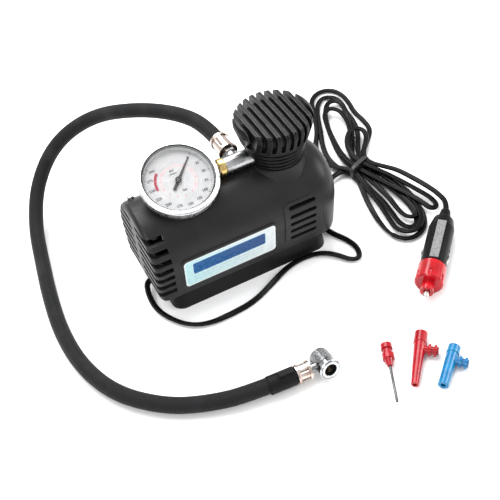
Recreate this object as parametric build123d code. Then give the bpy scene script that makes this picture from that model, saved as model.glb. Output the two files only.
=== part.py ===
from build123d import *
import os
from math import sin, cos, tan, radians, degrees, sqrt, atan2

# Portable 12 V tyre inflator.  Millimetres, +Z up.
# Origin: centre of the flat underside of the base.  +X runs along the motor to
# the compressor head, -Y is the side with the label.
os.makedirs("parts", exist_ok=True)

# ---------------------------------------------------------------- general fits
wall = 2.4              # wall of the moulded housing
gap = 0.3               # clearance between pieces that move
seat = 0.1              # clearance between a piece and its bore, fixed pieces

# ---------------------------------------------------------------- base
base_len = 129.0
base_wid = 63.0
base_h = 15.0
base_flare = 1.8        # how far the foot spreads past the top edge, each side
base_corner = 9.0
base_floor = 3.0

# ---------------------------------------------------------------- housing
barrel_r = 34.0
barrel_z = 47.0
end_left = -74.0
end_right = 77.0
round_left = 4.0
round_right = 17.0
under_left = 8.0        # rounding under the two overhanging ends
under_right = 10.0
draft = 6.0             # lean of the lower side walls, degrees
seam_post = 8.0         # width of the post between the two banks of louvres
louvre_n = 7
louvre_pitch = 7.7
louvre_h = 4.2
louvre_z0 = 24.0
louvre_wrap = 13.5      # how far each louvre runs back along the side
floor_open_x = 46.0
floor_open_y = 25.0

vent_x = 43.0
vent_z = 41.5
vent_w = 30.0
vent_h = 39.0
vent_raise = 0.8
vent_n = 5
vent_pitch = 7.6
vent_slot_l = 22.0
vent_slot_h = 3.4

label_x = -17.0
label_z = 35.8
label_w = 73.5
label_h = 27.5
label_t = 0.4
label_rim = 1.5         # flat land of the housing around the label

# ---------------------------------------------------------------- head
head_x = 41.0
column_top = 82.0
column_r = 20.5
column_foot_r = 25.5
ring_n = 5
ring_r = 20.0           # lowest ring
ring_top_r = 23.8       # highest ring, under the cap
ring_core_r = 16.5
ring_t = 1.9
neck_h = 18.0
cap_h = 19.0
cap_r = 28.5
cap_foot_r = 25.0
cap_round = 5.0
dome_r = 330.0
rib_n = 10
rib_pitch = 5.9
rib_t = 2.7
rib_depth = 4.2
cap_recess_r = 17.4
cap_recess_h = 5.6

# ---------------------------------------------------------------- pump
cyl_bore_r = 9.0
cyl_r = 12.0
cyl_foot = 56.0
crank_r = 8.0
crank_pin_r = 2.0
rod_w = 6.0
piston_z = 58.5         # underside of the piston at the bottom of its stroke
piston_t = 3.5
cup_t = 1.5
screw_head_t = 1.0
valve_plate_t = 2.0
chamber_r = 7.0
flange_t = 2.6

module = 0.8
gear_teeth = 42
pinion_teeth = 9
gear_x = 20.0
gear_t = 5.0
pinion_t = 6.5
pin_r = 3.0

# ---------------------------------------------------------------- motor
motor_r = 18.0
motor_x0 = -44.0
motor_len = 58.0
motor_z = 57.0
shaft_r = 1.6
armature_r = 13.0
plate_t = 3.0
fan_r = 12.0
fan_t = 8.0

# ---------------------------------------------------------------- outlet, gauge
pipe_z = 88.4
pipe_r = 6.2
pipe_x0 = 0.0
pipe_spigot_r = 4.4
tee_x = 9.5
tee_r = 4.6
tee_y = 8.0
collar_l = 5.0
collar_r = 6.6
gauge_x = -34.6
gauge_y = -1.0
gauge_z = 96.2
gauge_tilt = 22.0       # lean of the dial towards the front, degrees
gauge_r = 28.0
gauge_bezel_r = 29.2
gauge_depth = 11.4
bezel_h = 6.0
bezel_lip = 3.2
dial_r = 25.8
dial_t = 0.8
lens_t = 1.4
needle_len = 20.0
needle_tail = 8.0
zero_angle = 45.0       # where the scale starts, from +X towards the back

# ---------------------------------------------------------------- hose, chuck
hose_d = 11.5
ferrule_r = 6.9
ferrule_l = 15.5
nut_l = 4.0
nut_flat = 10.0
sleeve_r = 6.6
sleeve_l = 19.0
chuck_x = 1.8
chuck_y = -133.9
chuck_z = 9.6
chuck_tilt = 14.0
chuck_r = 7.1
chuck_back = 10.5
chuck_nut_r = 7.7
chuck_nut_l = 5.5
chuck_bore_r = 4.1
seal_r = 6.2

# ---------------------------------------------------------------- power lead
lead_d = 4.0
lead_z = 2.3
grommet_y = 3.0
grommet_z = 8.7
grommet_r = 4.0
hank_top = 13.0
hank_edge = 5.0
tie_w = 4.0
tie_t = 0.6
tie_at = (128.6, 25.2)
tie_turn = 110.0        # heading of the bundle where it is tied, degrees

# ---------------------------------------------------------------- 12 V plug
plug_end = (154.6, -57.3, 10.5)
plug_turn = 225.0       # heading from the lead to the tip, degrees
relief_l = 11.5
relief_r = 3.6
relief_foot_r = 5.4
body_l = 47.5
body_r0 = 8.0
body_r1 = 9.7
nose_l = 17.5
nose_r = 10.4
nose_step_l = 7.5
nose_step_r = 4.8
tip_r = 2.2
tip_out = 5.0
plug_wall = 1.8
fuse_r = 3.1
fuse_l = 30.0

# ---------------------------------------------------------------- accessories
needle_tube_r = 0.9
needle_bore_r = 0.4
needle_tube_l = 28.5
needle_base_l = 18.0
cone_l = 43.5
cone_r0 = 4.6
cone_r1 = 2.6
blue_l = 33.0
blue_r0 = 4.4
blue_r1 = 3.6
branch_l = 13.0
branch_r = 2.9


# ================================================================ helpers
def vec(p):
    return Vector(*p)


def rod(r, p, q):
    p = vec(p)
    q = vec(q)
    return Solid.make_cylinder(r, (q - p).length, Plane(origin=p, z_dir=(q - p)))


def cone(r0, r1, p, q):
    p = vec(p)
    q = vec(q)
    return Solid.make_cone(r0, r1, (q - p).length, Plane(origin=p, z_dir=(q - p)))


def brick(x0, x1, y0, y1, z0, z1):
    return Solid.make_box(x1 - x0, y1 - y0, z1 - z0, Plane(origin=(x0, y0, z0)))


def save(shape, name):
    solids = shape.solids()
    whole = solids[0] if len(solids) == 1 else Compound(children=list(solids))
    export_step(whole, "parts/" + name + ".step")


def section(off, z_low):
    # arched outline of the housing, moved inwards by off, at x = 0
    r = barrel_r - off
    a = radians(draft)
    ty = r * cos(a)
    tz = barrel_z - r * sin(a)
    by = ty - (tz - z_low) * tan(a)
    e = [
        Edge.make_line((0, -by, z_low), (0, -ty, tz)),
        Edge.make_three_point_arc((0, -ty, tz), (0, 0, barrel_z + r), (0, ty, tz)),
        Edge.make_line((0, ty, tz), (0, by, z_low)),
        Edge.make_line((0, by, z_low), (0, -by, z_low)),
    ]
    return Face(Wire(e))


def arched(off, x0, x1, z_low, ra, rb):
    # the housing's arched body between two ends, each end rounded over
    s = extrude(section(off, z_low), amount=x1 - x0, dir=(1, 0, 0)).moved(Location((x0, 0, 0)))
    s = s.solids()[0]
    for x, r in ((x0, ra), (x1, rb)):
        if r > 0:
            ends = [e for e in s.edges() if abs(e.center().X - x) < 1e-3]
            ends = [e for e in ends if e.center().Z > z_low + 1]
            s = s.fillet(r, ends)
    return s


def gear_face(teeth, tip, root, thick, phase):
    # outline of a spur gear in the YZ plane about the origin
    step = 360.0 / teeth
    pr = module * teeth / 2.0
    half = degrees(thick / 2.0 / pr)
    pts = []
    for i in range(teeth):
        c = phase + i * step
        for r, a in ((root, -half * 1.35), (tip, -half * 0.5), (tip, half * 0.5), (root, half * 1.35)):
            t = radians(c + a)
            pts.append((0, r * cos(t), r * sin(t)))
    return Face(Wire.make_polygon(pts, close=True))


def route(points, d, name):
    # straight runs joined by arcs, each arc as large as its two runs allow
    p = [vec(q) for q in points]
    radii = []
    for i in range(1, len(p) - 1):
        a = p[i] - p[i - 1]
        b = p[i + 1] - p[i]
        turn = a.get_angle(b)
        radii.append(0.45 * min(a.length, b.length) / tan(radians(turn) / 2.0))
    line = FilletPolyline(*points, radius=radii)
    path = line.wire() if hasattr(line, "wire") else Wire(line.edges())
    start = path.edges()[0]
    here = Plane(origin=p[0], z_dir=(p[1] - p[0]))
    ring = Face(Wire.make_circle(d / 2.0, here))
    tube = Solid.sweep(ring, path)
    ideal = 3.14159265 * d * d / 4.0 * path.length
    print(name, "length", round(path.length, 1), "volume ratio", round(tube.volume / ideal, 4))
    print("   radii", [round(r, 1) for r in radii])
    return tube


# ================================================================ housing
column_low = barrel_z + barrel_r - 10.5


def tucked(off, z_low):
    # block with the housing's side outline, its two lower corners rounded
    s = brick(end_left + off, end_right - off, -80, 80, z_low, 125)
    for x, r in ((end_left + off, under_left - off), (end_right - off, under_right - off)):
        low = [e for e in s.edges() if abs(e.center().X - x) < 1e-3 and abs(e.center().Z - z_low) < 1e-3]
        s = s.fillet(r, low)
    return s


outer = (arched(0.0, end_left, end_right, base_h, round_left, round_right) & tucked(0.0, base_h)).solids()[0]
foot = Wire([
    Edge.make_line((head_x, 0, column_low - 20), (head_x + column_foot_r, 0, column_low - 20)),
    Edge.make_line((head_x + column_foot_r, 0, column_low - 20), (head_x + column_foot_r - 1, 0, column_low)),
    Edge.make_three_point_arc(
        (head_x + column_foot_r - 1, 0, column_low),
        (head_x + column_r + 1.2, 0, column_top - 5.5),
        (head_x + column_r, 0, column_top - 1.2)),
    Edge.make_line((head_x + column_r, 0, column_top - 1.2), (head_x + column_r, 0, column_top)),
    Edge.make_line((head_x + column_r, 0, column_top), (head_x, 0, column_top)),
    Edge.make_line((head_x, 0, column_top), (head_x, 0, column_low - 20)),
])
column = revolve(Face(foot), Axis((head_x, 0, 0), (0, 0, 1)), 360.0).solids()[0]
column = column & arched(-column_top, end_left, end_right - 1.0, -60.0, 0, 0)
full = (outer + column).solids()[0]
inner = arched(wall, end_left + wall, end_right - wall, base_h + wall,
               round_left - wall, round_right - wall) & tucked(wall, base_h + wall)
opening = brick(-floor_open_x, floor_open_x, -floor_open_y, floor_open_y, 0, base_h + wall + 1)

# raised vent pad
pad = arched(-vent_raise, vent_x - vent_w / 2, vent_x + vent_w / 2, base_h, 0, 0)
pad_face = Plane(origin=(vent_x, 0, vent_z), x_dir=(1, 0, 0), z_dir=(0, -1, 0)) * RectangleRounded(
    vent_w, vent_h, 3.5)
pad = pad & extrude(pad_face, amount=60)

# flat land for the label, on the leaning side wall
a6 = radians(draft)
flat_y = barrel_r * cos(a6) - (barrel_z - barrel_r * sin(a6) - label_z) * tan(a6)
label_plane = Plane(origin=(label_x, -flat_y - 0.3 * cos(a6), label_z),
                    x_dir=(1, 0, 0), z_dir=(0, -cos(a6), -sin(a6)))
land = extrude(label_plane * RectangleRounded(label_w + 2 * label_rim, label_h + 2 * label_rim, 4.0),
               amount=-6.0)

shell = (full + pad + land) - inner - opening
shell = shell - rod(cyl_r + seat + 0.3, (head_x, 0, barrel_z), (head_x, 0, column_top + 1))

# louvres at the motor end
skin = full - inner
for i in range(louvre_n):
    z = louvre_z0 + i * louvre_pitch
    for s in (-1, 1):
        y0 = seam_post / 2 if s > 0 else -barrel_r - 5
        y1 = barrel_r + 5 if s > 0 else -seam_post / 2
        bar = brick(end_left - 5, end_left + louvre_wrap, y0, y1, z - louvre_h / 2, z + louvre_h / 2)
        shell = shell - (bar & skin)

# vent slots through the pad
for i in range(vent_n):
    z = vent_z + (i - (vent_n - 1) / 2.0) * vent_pitch
    here = Plane(origin=(vent_x, -barrel_r + 12, z), x_dir=(1, 0, 0), z_dir=(0, -1, 0))
    shell = shell - extrude(here * SlotOverall(vent_slot_l, vent_slot_h), amount=30)

# screw bosses, across the seam and down to the base
boss_r = 4.0
screw_r = 1.5
screw_head_r = 3.0
screw_seat_y = 19.0
seams = [(end_left + 8.0, 74.0), (end_left + 12.0, 25.0),
         (end_right - 14.0, 25.0), (end_right - 10.0, 64.0)]
base_fix = [(sx * 54.0, sy * 19.5) for sx in (-1, 1) for sy in (-1, 1)]
room = arched(wall - 0.6, end_left + wall - 0.6, end_right - wall + 0.6, base_h + wall - 0.6,
              round_left - wall + 0.6, round_right - wall + 0.6) & tucked(wall - 0.6, base_h + wall - 0.6)
for x, z in seams:
    shell = shell + (rod(boss_r, (x, -barrel_r, z), (x, barrel_r, z)) & room)
for x, y in base_fix:
    shell = shell + rod(boss_r, (x, y, base_h + wall - 1), (x, y, base_h + wall + 6))

# saddles that carry the motor
for x in (motor_x0 + 8.0, motor_x0 + motor_len - 10.0):
    rib = brick(x, x + 2.0, -barrel_r, barrel_r, base_h + wall + 1, barrel_z + barrel_r)
    rib = (rib & room) - rod(motor_r + seat, (x - 1, 0, motor_z), (x + 3, 0, motor_z))
    rib = rib - brick(x - 1, x + 3, -22, 22, base_h, motor_z - 14)
    shell = shell + rib
for x, z in seams:
    shell = shell - rod(screw_r + seat, (x, -14.5, z), (x, barrel_r, z))
    shell = shell - rod(screw_head_r + seat, (x, screw_seat_y, z), (x, barrel_r + 6, z))
for x, y in base_fix:
    shell = shell - rod(screw_r + seat, (x, y, base_h - 1), (x, y, base_h + wall + 5))

halves = {}
for name, s in (("front_shell", -1), ("rear_shell", 1)):
    keep = brick(end_left - 10, end_right + 10, -80 if s < 0 else 0, 0 if s < 0 else 80, 0, 130)
    part = shell & keep
    part = max(part.solids(), key=lambda q: q.volume)
    halves[name] = part
    save(part, name)

screws = []
for x, z in seams:
    screws.append(rod(screw_r, (x, -14, z), (x, screw_seat_y, z))
                  + rod(screw_head_r, (x, screw_seat_y, z), (x, screw_seat_y + 2.2, z)))
save(Compound(children=[s.solids()[0] for s in screws]), "shell_screws")

label = extrude(label_plane * RectangleRounded(label_w, label_h, 3.0), amount=label_t)
save(label, "label_plate")

# ================================================================ base
low = RectangleRounded(base_len, base_wid, base_corner)
top = Pos(0, 0, base_h) * RectangleRounded(
    base_len - 2 * base_flare, base_wid - 2 * base_flare, base_corner - base_flare / 2)
tray = loft([low.faces()[0], top.faces()[0]])
lowi = Pos(0, 0, base_floor) * RectangleRounded(
    base_len - 2 * wall - 1.0, base_wid - 2 * wall - 1.0, base_corner - wall)
topi = Pos(0, 0, base_h + 0.01) * RectangleRounded(
    base_len - 2 * base_flare - 2 * wall, base_wid - 2 * base_flare - 2 * wall, base_corner - wall - 0.9)
tray = tray - loft([lowi.faces()[0], topi.faces()[0]])
for x, y in base_fix:
    tray = tray + rod(boss_r, (x, y, base_floor - 1), (x, y, base_h))
for x, y in base_fix:
    tray = tray - rod(screw_r + seat, (x, y, -1), (x, y, base_h + 1))
    tray = tray - rod(screw_head_r + seat, (x, y, -1), (x, y, base_floor))
for x in (-30.0, 0.0, 30.0):
    tray = tray + brick(x - 1, x + 1, -base_wid / 2 + wall, base_wid / 2 - wall, base_floor - 1, 9.0)
tray = tray - rod(grommet_r + seat, (-base_len / 2 - 3, grommet_y, grommet_z),
                  (-base_len / 2 + 8, grommet_y, grommet_z))
save(tray.solids()[0], "base_plinth")
fix = []
for x, y in base_fix:
    fix.append(rod(screw_r, (x, y, base_floor), (x, y, base_h + wall + 4.5))
               + rod(screw_head_r, (x, y, base_floor - 2.2), (x, y, base_floor)))
save(Compound(children=[s.solids()[0] for s in fix]), "base_screws")

wall_x = -base_len / 2 + base_flare * grommet_z / base_h
grommet = rod(grommet_r, (wall_x - 1.0, grommet_y, grommet_z), (wall_x + 4.5, grommet_y, grommet_z))
grommet = grommet + rod(grommet_r + 1.3, (wall_x - 2.4, grommet_y, grommet_z),
                        (wall_x - 0.6, grommet_y, grommet_z))
grommet = grommet + rod(grommet_r + 1.3, (wall_x + 3.4, grommet_y, grommet_z),
                        (wall_x + 4.9, grommet_y, grommet_z))
grommet = grommet - rod(lead_d / 2 + seat, (wall_x - 5, grommet_y, grommet_z),
                        (wall_x + 9, grommet_y, grommet_z))
save(grommet.solids()[0], "lead_grommet")

# ================================================================ pump block
plate_x = motor_x0 + motor_len + 1.0
gear_z = motor_z - module * (gear_teeth + pinion_teeth) / 2.0
inside = arched(wall + seat, end_left + 4, end_right - 4, base_h + wall + seat, 0, 0)
plate = brick(plate_x, plate_x + plate_t, -60, 60, 0, 120) & inside
plate = plate - brick(plate_x - 1, plate_x + plate_t + 1, -60, 60, 0, base_h + wall + 3)
plate = plate - rod(4.5, (plate_x - 1, 0, motor_z), (plate_x + plate_t + 1, 0, motor_z))
shelf = brick(plate_x + plate_t - 0.5, head_x, -9.0, 9.0, motor_z + 6.0, motor_z + 11.0)
block = plate + shelf + rod(cyl_r, (head_x, 0, cyl_foot), (head_x, 0, column_top))
block = block - rod(cyl_bore_r, (head_x, 0, cyl_foot - 1), (head_x, 0, column_top + 1))
block = block - rod(pin_r + seat, (plate_x - 1, 0, gear_z), (plate_x + plate_t + 1, 0, gear_z))
motor_fix = [(12.0, 0), (-12.0, 0)]
for dy, dz in motor_fix:
    block = block - rod(screw_r + seat, (plate_x - 1, dy, motor_z + dz), (plate_x + 9, dy, motor_z + dz))
save(block.solids()[0], "cylinder_block")

gear_pin = rod(pin_r, (plate_x - 0.8, 0, gear_z), (gear_x + gear_t + 0.8, 0, gear_z))
gear_pin = gear_pin + rod(pin_r + 1.4, (gear_x + gear_t + gap, 0, gear_z),
                          (gear_x + gear_t + gap + 1.2, 0, gear_z))
save(gear_pin.solids()[0], "gear_pin")

# ---- reduction gear and crank
pitch = 3.14159265 * module
tooth = 0.40 * pitch
gear_root = module * gear_teeth / 2.0 - 0.95
gear_tip = module * gear_teeth / 2.0 + 0.6
pinion_root = module * pinion_teeth / 2.0 - 0.95
pinion_tip = module * pinion_teeth / 2.0 + 0.6
gear = extrude(gear_face(gear_teeth, gear_tip, gear_root, tooth, 90.0), amount=gear_t, dir=(1, 0, 0))
gear = gear.moved(Location((gear_x, 0, gear_z)))
gear = gear - rod(pin_r + gap, (gear_x - 1, 0, gear_z), (gear_x + gear_t + 1, 0, gear_z))
gear = gear - rod(crank_pin_r + 0.02, (gear_x + 1.0, 0, gear_z - crank_r),
                  (gear_x + gear_t + 1, 0, gear_z - crank_r))
for a in (30, 90, 150):
    c = (gear_x - 1, 10.6 * cos(radians(a)), gear_z + 10.6 * sin(radians(a)))
    gear = gear - rod(3.2, c, (c[0] + gear_t + 2, c[1], c[2]))
save(gear.solids()[0], "drive_gear")
crank_z = gear_z - crank_r
pin_end = head_x - rod_w / 2 - gap
crank = rod(crank_pin_r, (gear_x + 1.0, 0, crank_z), (pin_end, 0, crank_z))
save(crank, "crank_pin")
stroke = 2 * crank_r

# ---- motor
can = rod(motor_r, (motor_x0, 0, motor_z), (motor_x0 + motor_len, 0, motor_z))
can = can.fillet(3.0, [e for e in can.edges() if abs(e.center().X - motor_x0 - motor_len) < 1e-3
                       and e.length > 50])
can = can - rod(motor_r - 1.6, (motor_x0 - 1, 0, motor_z), (motor_x0 + motor_len - 2, 0, motor_z))
can = can + rod(4.0, (motor_x0 + motor_len - 1, 0, motor_z), (plate_x + plate_t - 0.4, 0, motor_z))
can = can - rod(shaft_r + gap, (motor_x0, 0, motor_z), (plate_x + plate_t + 1, 0, motor_z))
for dy, dz in motor_fix:
    can = can - rod(screw_r + seat, (motor_x0 + motor_len - 4, dy, motor_z + dz),
                    (motor_x0 + motor_len + 1, dy, motor_z + dz))
save(can.solids()[0], "motor_can")
end_cap = rod(motor_r - 1.6 - seat, (motor_x0 + 0.6, 0, motor_z), (motor_x0 + 5.0, 0, motor_z))
end_cap = end_cap + rod(5.0, (motor_x0 - 2.5, 0, motor_z), (motor_x0 + 1.0, 0, motor_z))
end_cap = end_cap - rod(shaft_r + gap, (motor_x0 - 5, 0, motor_z), (motor_x0 + 9, 0, motor_z))
save(end_cap.solids()[0], "motor_end_cap")
mfix = []
for dy, dz in motor_fix:
    a = (motor_x0 + motor_len - 3.5, dy, motor_z + dz)
    b = (plate_x + plate_t, dy, motor_z + dz)
    mfix.append(rod(screw_r, a, b) + rod(2.6, b, (b[0] + 1.6, b[1], b[2])))
save(Compound(children=[s.solids()[0] for s in mfix]), "motor_screws")

fan_x = motor_x0 - 4.0 - fan_t
shaft = rod(shaft_r, (fan_x + 0.5, 0, motor_z), (gear_x + pinion_t, 0, motor_z))
shaft = shaft + rod(armature_r, (motor_x0 + 10, 0, motor_z), (motor_x0 + motor_len - 8, 0, motor_z))
for i in range(5):
    t = radians(72 * i + 36)
    m = 12.4
    shaft = shaft - rod(1.3, (motor_x0 + 9, m * cos(t), motor_z + m * sin(t)),
                        (motor_x0 + motor_len - 7, m * cos(t), motor_z + m * sin(t)))
save(shaft.solids()[0], "rotor")
pinion = extrude(gear_face(pinion_teeth, pinion_tip, pinion_root, tooth, -90.0 + 180.0 / pinion_teeth),
                 amount=pinion_t, dir=(1, 0, 0))
pinion = pinion.moved(Location((gear_x - 0.4, 0, motor_z)))
pinion = pinion - rod(shaft_r + 0.02, (gear_x - 2, 0, motor_z), (gear_x + pinion_t + 1, 0, motor_z))
save(pinion.solids()[0], "pinion")
fan = rod(4.0, (fan_x, 0, motor_z), (fan_x + fan_t - 1.0, 0, motor_z))
for i in range(7):
    t = 360.0 / 7 * i
    blade = brick(fan_x + 0.6, fan_x + fan_t - 1.4, 3.0, fan_r, -0.6, 0.6)
    blade = blade.rotate(Axis((0, 7.5, 0), (0, 1, 0)), 0)
    fan = fan + blade.rotate(Axis((0, 0, 0), (1, 0, 0)), t).moved(Location((0, 0, motor_z)))
fan = fan - rod(shaft_r + 0.02, (fan_x + 0.5, 0, motor_z), (fan_x + fan_t + 1, 0, motor_z))
save(fan.solids()[0], "cooling_fan")

# ---- rod and cup, at the bottom of the stroke
big_end_r = 5.0
x0 = head_x - rod_w / 2
x1 = head_x + rod_w / 2
con = rod(big_end_r, (x0, 0, crank_z), (x1, 0, crank_z))
con = con + brick(x0, x1, -3.0, 3.0, crank_z, piston_z + 0.2)
con = con + rod(cyl_bore_r - gap, (head_x, 0, piston_z), (head_x, 0, piston_z + piston_t))
con = con - rod(crank_pin_r + gap, (x0 - 1, 0, crank_z), (x1 + 1, 0, crank_z))
crown = piston_z + piston_t
con = con - rod(1.2, (head_x, 0, crown - 3.0), (head_x, 0, crown + 1))
save(con.solids()[0], "piston_rod")
cup = rod(cyl_bore_r - 0.15, (head_x, 0, crown), (head_x, 0, crown + cup_t))
cup = cup - rod(1.3, (head_x, 0, crown - 1), (head_x, 0, crown + cup_t + 1))
save(cup, "piston_cup")
cscrew = rod(1.15, (head_x, 0, crown - 2.8), (head_x, 0, crown + cup_t))
cscrew = cscrew + rod(3.0, (head_x, 0, crown + cup_t), (head_x, 0, crown + cup_t + screw_head_t))
save(cscrew.solids()[0], "cup_screw")
print("piston top at rest", crown + cup_t + screw_head_t, "stroke", stroke, "plate at", column_top)

# ---- valve and head
vp = rod(cyl_r, (head_x, 0, column_top), (head_x, 0, column_top + valve_plate_t))
vp = vp - rod(1.6, (head_x, 0, column_top - 1), (head_x, 0, column_top + valve_plate_t + 1))
save(vp, "valve_plate")
vz = column_top + valve_plate_t
save(rod(4.2, (head_x, 0, vz), (head_x, 0, vz + 1.0)), "valve_disc")
neck_top = column_top + neck_h
chamber_top = neck_top - 4.0
spring = rod(3.4, (head_x, 0, vz + 1.0), (head_x, 0, chamber_top))
spring = spring - rod(2.6, (head_x, 0, vz), (head_x, 0, chamber_top + 1))
save(spring, "valve_spring")
hd = rod(cyl_r, (head_x, 0, vz), (head_x, 0, neck_top))
hd = hd + rod(ring_core_r, (head_x, 0, neck_top), (head_x, 0, neck_top + flange_t))
hd = hd - rod(chamber_r, (head_x, 0, vz - 1), (head_x, 0, chamber_top))
port_x = head_x - cyl_r + 0.6
hd = hd - rod(pipe_spigot_r + seat, (0, 0, pipe_z), (port_x, 0, pipe_z))
hd = hd - rod(2.2, (0, 0, pipe_z), (head_x, 0, pipe_z))
screw_at = [(head_x + 14.5 * cos(radians(a)), 14.5 * sin(radians(a))) for a in (0, 120, 240)]
for x, y in screw_at:
    hd = hd - rod(1.3, (x, y, neck_top - 1), (x, y, neck_top + flange_t + 1))
save(hd.solids()[0], "cylinder_head")

rings = rod(ring_core_r, (head_x, 0, column_top), (head_x, 0, neck_top))
for i in range(ring_n):
    z = column_top + 0.8 + i * (neck_h - ring_t - 0.8) / (ring_n - 1)
    fin_r = ring_r + i * (ring_top_r - ring_r) / (ring_n - 1)
    fin = rod(fin_r, (head_x, 0, z), (head_x, 0, z + ring_t))
    rings = rings + fin
rings = rings - rod(cyl_r + seat + 0.3, (head_x, 0, column_top - 1), (head_x, 0, neck_top + 1))
rings = rings - rod(pipe_r + gap, (0, 0, pipe_z), (head_x - ring_core_r, 0, pipe_z))
rings = rings - rod(pipe_spigot_r + seat, (0, 0, pipe_z), (head_x - 5, 0, pipe_z))
for x, y in screw_at:
    rings = rings - rod(1.2, (x, y, neck_top - 9), (x, y, neck_top + 1))
save(rings.solids()[0], "neck_rings")
hs = []
for x, y in screw_at:
    hs.append(rod(1.15, (x, y, neck_top - 8), (x, y, neck_top + flange_t))
              + rod(1.9, (x, y, neck_top + flange_t), (x, y, neck_top + flange_t + 1.3)))
save(Compound(children=[s.solids()[0] for s in hs]), "head_screws")

# ---- ribbed cap
cap_top = neck_top + cap_h


def cap_body(off):
    # flared drum with a rounded shoulder and a slightly domed top
    h = cap_h - off
    straight = 7.0
    low = Plane(origin=(head_x, 0, neck_top))
    mid = Plane(origin=(head_x, 0, neck_top + h - straight))
    s = Solid.make_cone(cap_foot_r - off, cap_r - off, h - straight, low)
    s = (s + Solid.make_cylinder(cap_r - off, straight, mid)).solids()[0]
    rim = [e for e in s.edges() if abs(e.center().Z - neck_top - h) < 1e-3 and e.length > 50]
    s = s.fillet(cap_round, rim)
    dome = Solid.make_sphere(dome_r).moved(Location((head_x, 0, neck_top + h - dome_r)))
    return (s & dome).solids()[0]


cap = cap_body(0.0)
core = cap_body(rib_depth)
for i in range(rib_n - 1):
    x = head_x + (i + 1 - rib_n / 2.0) * rib_pitch
    half = (rib_pitch - rib_t) / 2.0
    cap = cap - (brick(x - half, x + half, -99, 99, neck_top + 2.2, cap_top + 5) - core)
cap = cap - rod(cap_recess_r, (head_x, 0, neck_top - 1), (head_x, 0, neck_top + cap_recess_h))
save(cap.solids()[0], "fin_cap")

# ================================================================ outlet
px1 = head_x - ring_core_r
pipe = rod(pipe_r, (pipe_x0, 0, pipe_z), (px1 - gap, 0, pipe_z))
pipe = pipe.chamfer(0.6, None, [e for e in pipe.edges() if e.length > 20])
pipe = pipe + rod(pipe_spigot_r, (px1 - 1, 0, pipe_z), (port_x, 0, pipe_z))
pipe = pipe + rod(tee_r, (tee_x, 0, pipe_z), (tee_x, tee_y, pipe_z))
pipe = pipe - rod(2.2, (pipe_x0 - 1, 0, pipe_z), (port_x + 1, 0, pipe_z))
pipe = pipe - rod(2.2, (tee_x, 0, pipe_z), (tee_x, tee_y + 1, pipe_z))
save(pipe.solids()[0], "outlet_manifold")

collar = rod(collar_r, (pipe_x0 - collar_l, 0, pipe_z), (pipe_x0, 0, pipe_z))
collar = collar.chamfer(0.7, None, [e for e in collar.edges() if e.length > 20])
collar = collar - rod(2.2, (pipe_x0 - collar_l - 1, 0, pipe_z), (pipe_x0 + 1, 0, pipe_z))
save(collar.solids()[0], "brass_collar")

fit_y = tee_y + nut_l
hexa = Plane(origin=(tee_x, tee_y, pipe_z), x_dir=(1, 0, 0), z_dir=(0, 1, 0)) * RegularPolygon(
    nut_flat / 2, 6, major_radius=False)
barb = extrude(hexa, amount=nut_l)
barb = barb + rod(2.9, (tee_x, fit_y - 0.5, pipe_z), (tee_x, fit_y + 0.5, pipe_z))
barb = barb - rod(1.9, (tee_x, tee_y - 1, pipe_z), (tee_x, fit_y + ferrule_l, pipe_z))
save(barb.solids()[0], "hose_barb")


def ferrule(at, heading, r, length, bore):
    # crimped sleeve: a tube with a bead at each end and flats pressed between
    here = Plane(origin=at, z_dir=heading)
    s = Solid.make_cylinder(r - 0.5, length, here)
    s = s + Solid.make_cylinder(r, 2.2, here)
    far = Plane(origin=vec(at) + vec(heading).normalized() * (length - 2.2), z_dir=heading)
    s = s + Solid.make_cylinder(r, 2.2, far)
    cut = Plane(origin=vec(at) - vec(heading).normalized(), z_dir=heading)
    return (s - Solid.make_cylinder(bore, length + 2, cut)).solids()[0]


hose_in_y = fit_y + 0.5
save(ferrule((tee_x, fit_y, pipe_z), (0, 1, 0), ferrule_r + 0.4, ferrule_l, hose_d / 2 + seat),
     "inlet_ferrule")

# ================================================================ gauge
tl = radians(gauge_tilt)
gn = Vector(0, -sin(tl), cos(tl))
gc = Vector(gauge_x, gauge_y, gauge_z)


def gplane(h):
    return Plane(origin=gc + gn * h, x_dir=(1, 0, 0), z_dir=gn)


def gdisc(r, h0, h1):
    return Solid.make_cylinder(r, h1 - h0, gplane(h0))


case = gdisc(gauge_r, -gauge_depth, -1.0)
case = case.fillet(2.5, [e for e in case.edges() if e.length > 50
                         and (e.center() - gc).dot(gn) < -gauge_depth + 1])
stem_z = pipe_z
stem_r = 5.0
case = case + rod(stem_r, (gauge_x + gauge_r - 8.0, 0, stem_z), (pipe_x0 - collar_l, 0, stem_z))
case = case - gdisc(gauge_r - 1.8, -gauge_depth + 2.0, 1.0)
case = case - rod(1.5, (gauge_x + gauge_r - 9, 0, stem_z), (pipe_x0 - collar_l + 1, 0, stem_z))
save(case.solids()[0], "gauge_case")
bez = gdisc(gauge_bezel_r, -bezel_h, 0.0)
bez = bez.fillet(1.2, [e for e in bez.edges() if e.length > 50])
bez = bez - gdisc(gauge_r + seat, -bezel_h - 1, -1.0 + seat)
bez = bez - gdisc(gauge_bezel_r - bezel_lip, -bezel_h, 1.0)
bez = bez - rod(stem_r + seat, (gauge_x + gauge_r - 8.0, 0, stem_z), (pipe_x0, 0, stem_z))
save(bez.solids()[0], "gauge_bezel")
dial_h = -6.0
dial = gdisc(dial_r, dial_h - dial_t, dial_h)
dial = dial - gdisc(1.2, dial_h - 3, dial_h + 1)
support = gdisc(gauge_r - 1.8 - seat, dial_h - dial_t - 1.4, dial_h - dial_t)
support = support - gdisc(gauge_r - 5.0, dial_h - 4, dial_h)
save((dial + support).solids()[0], "gauge_dial")
lens = gdisc(gauge_bezel_r - bezel_lip - seat, -0.6 - lens_t, -0.6)
spacer = gdisc(gauge_bezel_r - bezel_lip - seat, dial_h + 0.0, -0.6 - lens_t)
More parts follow.
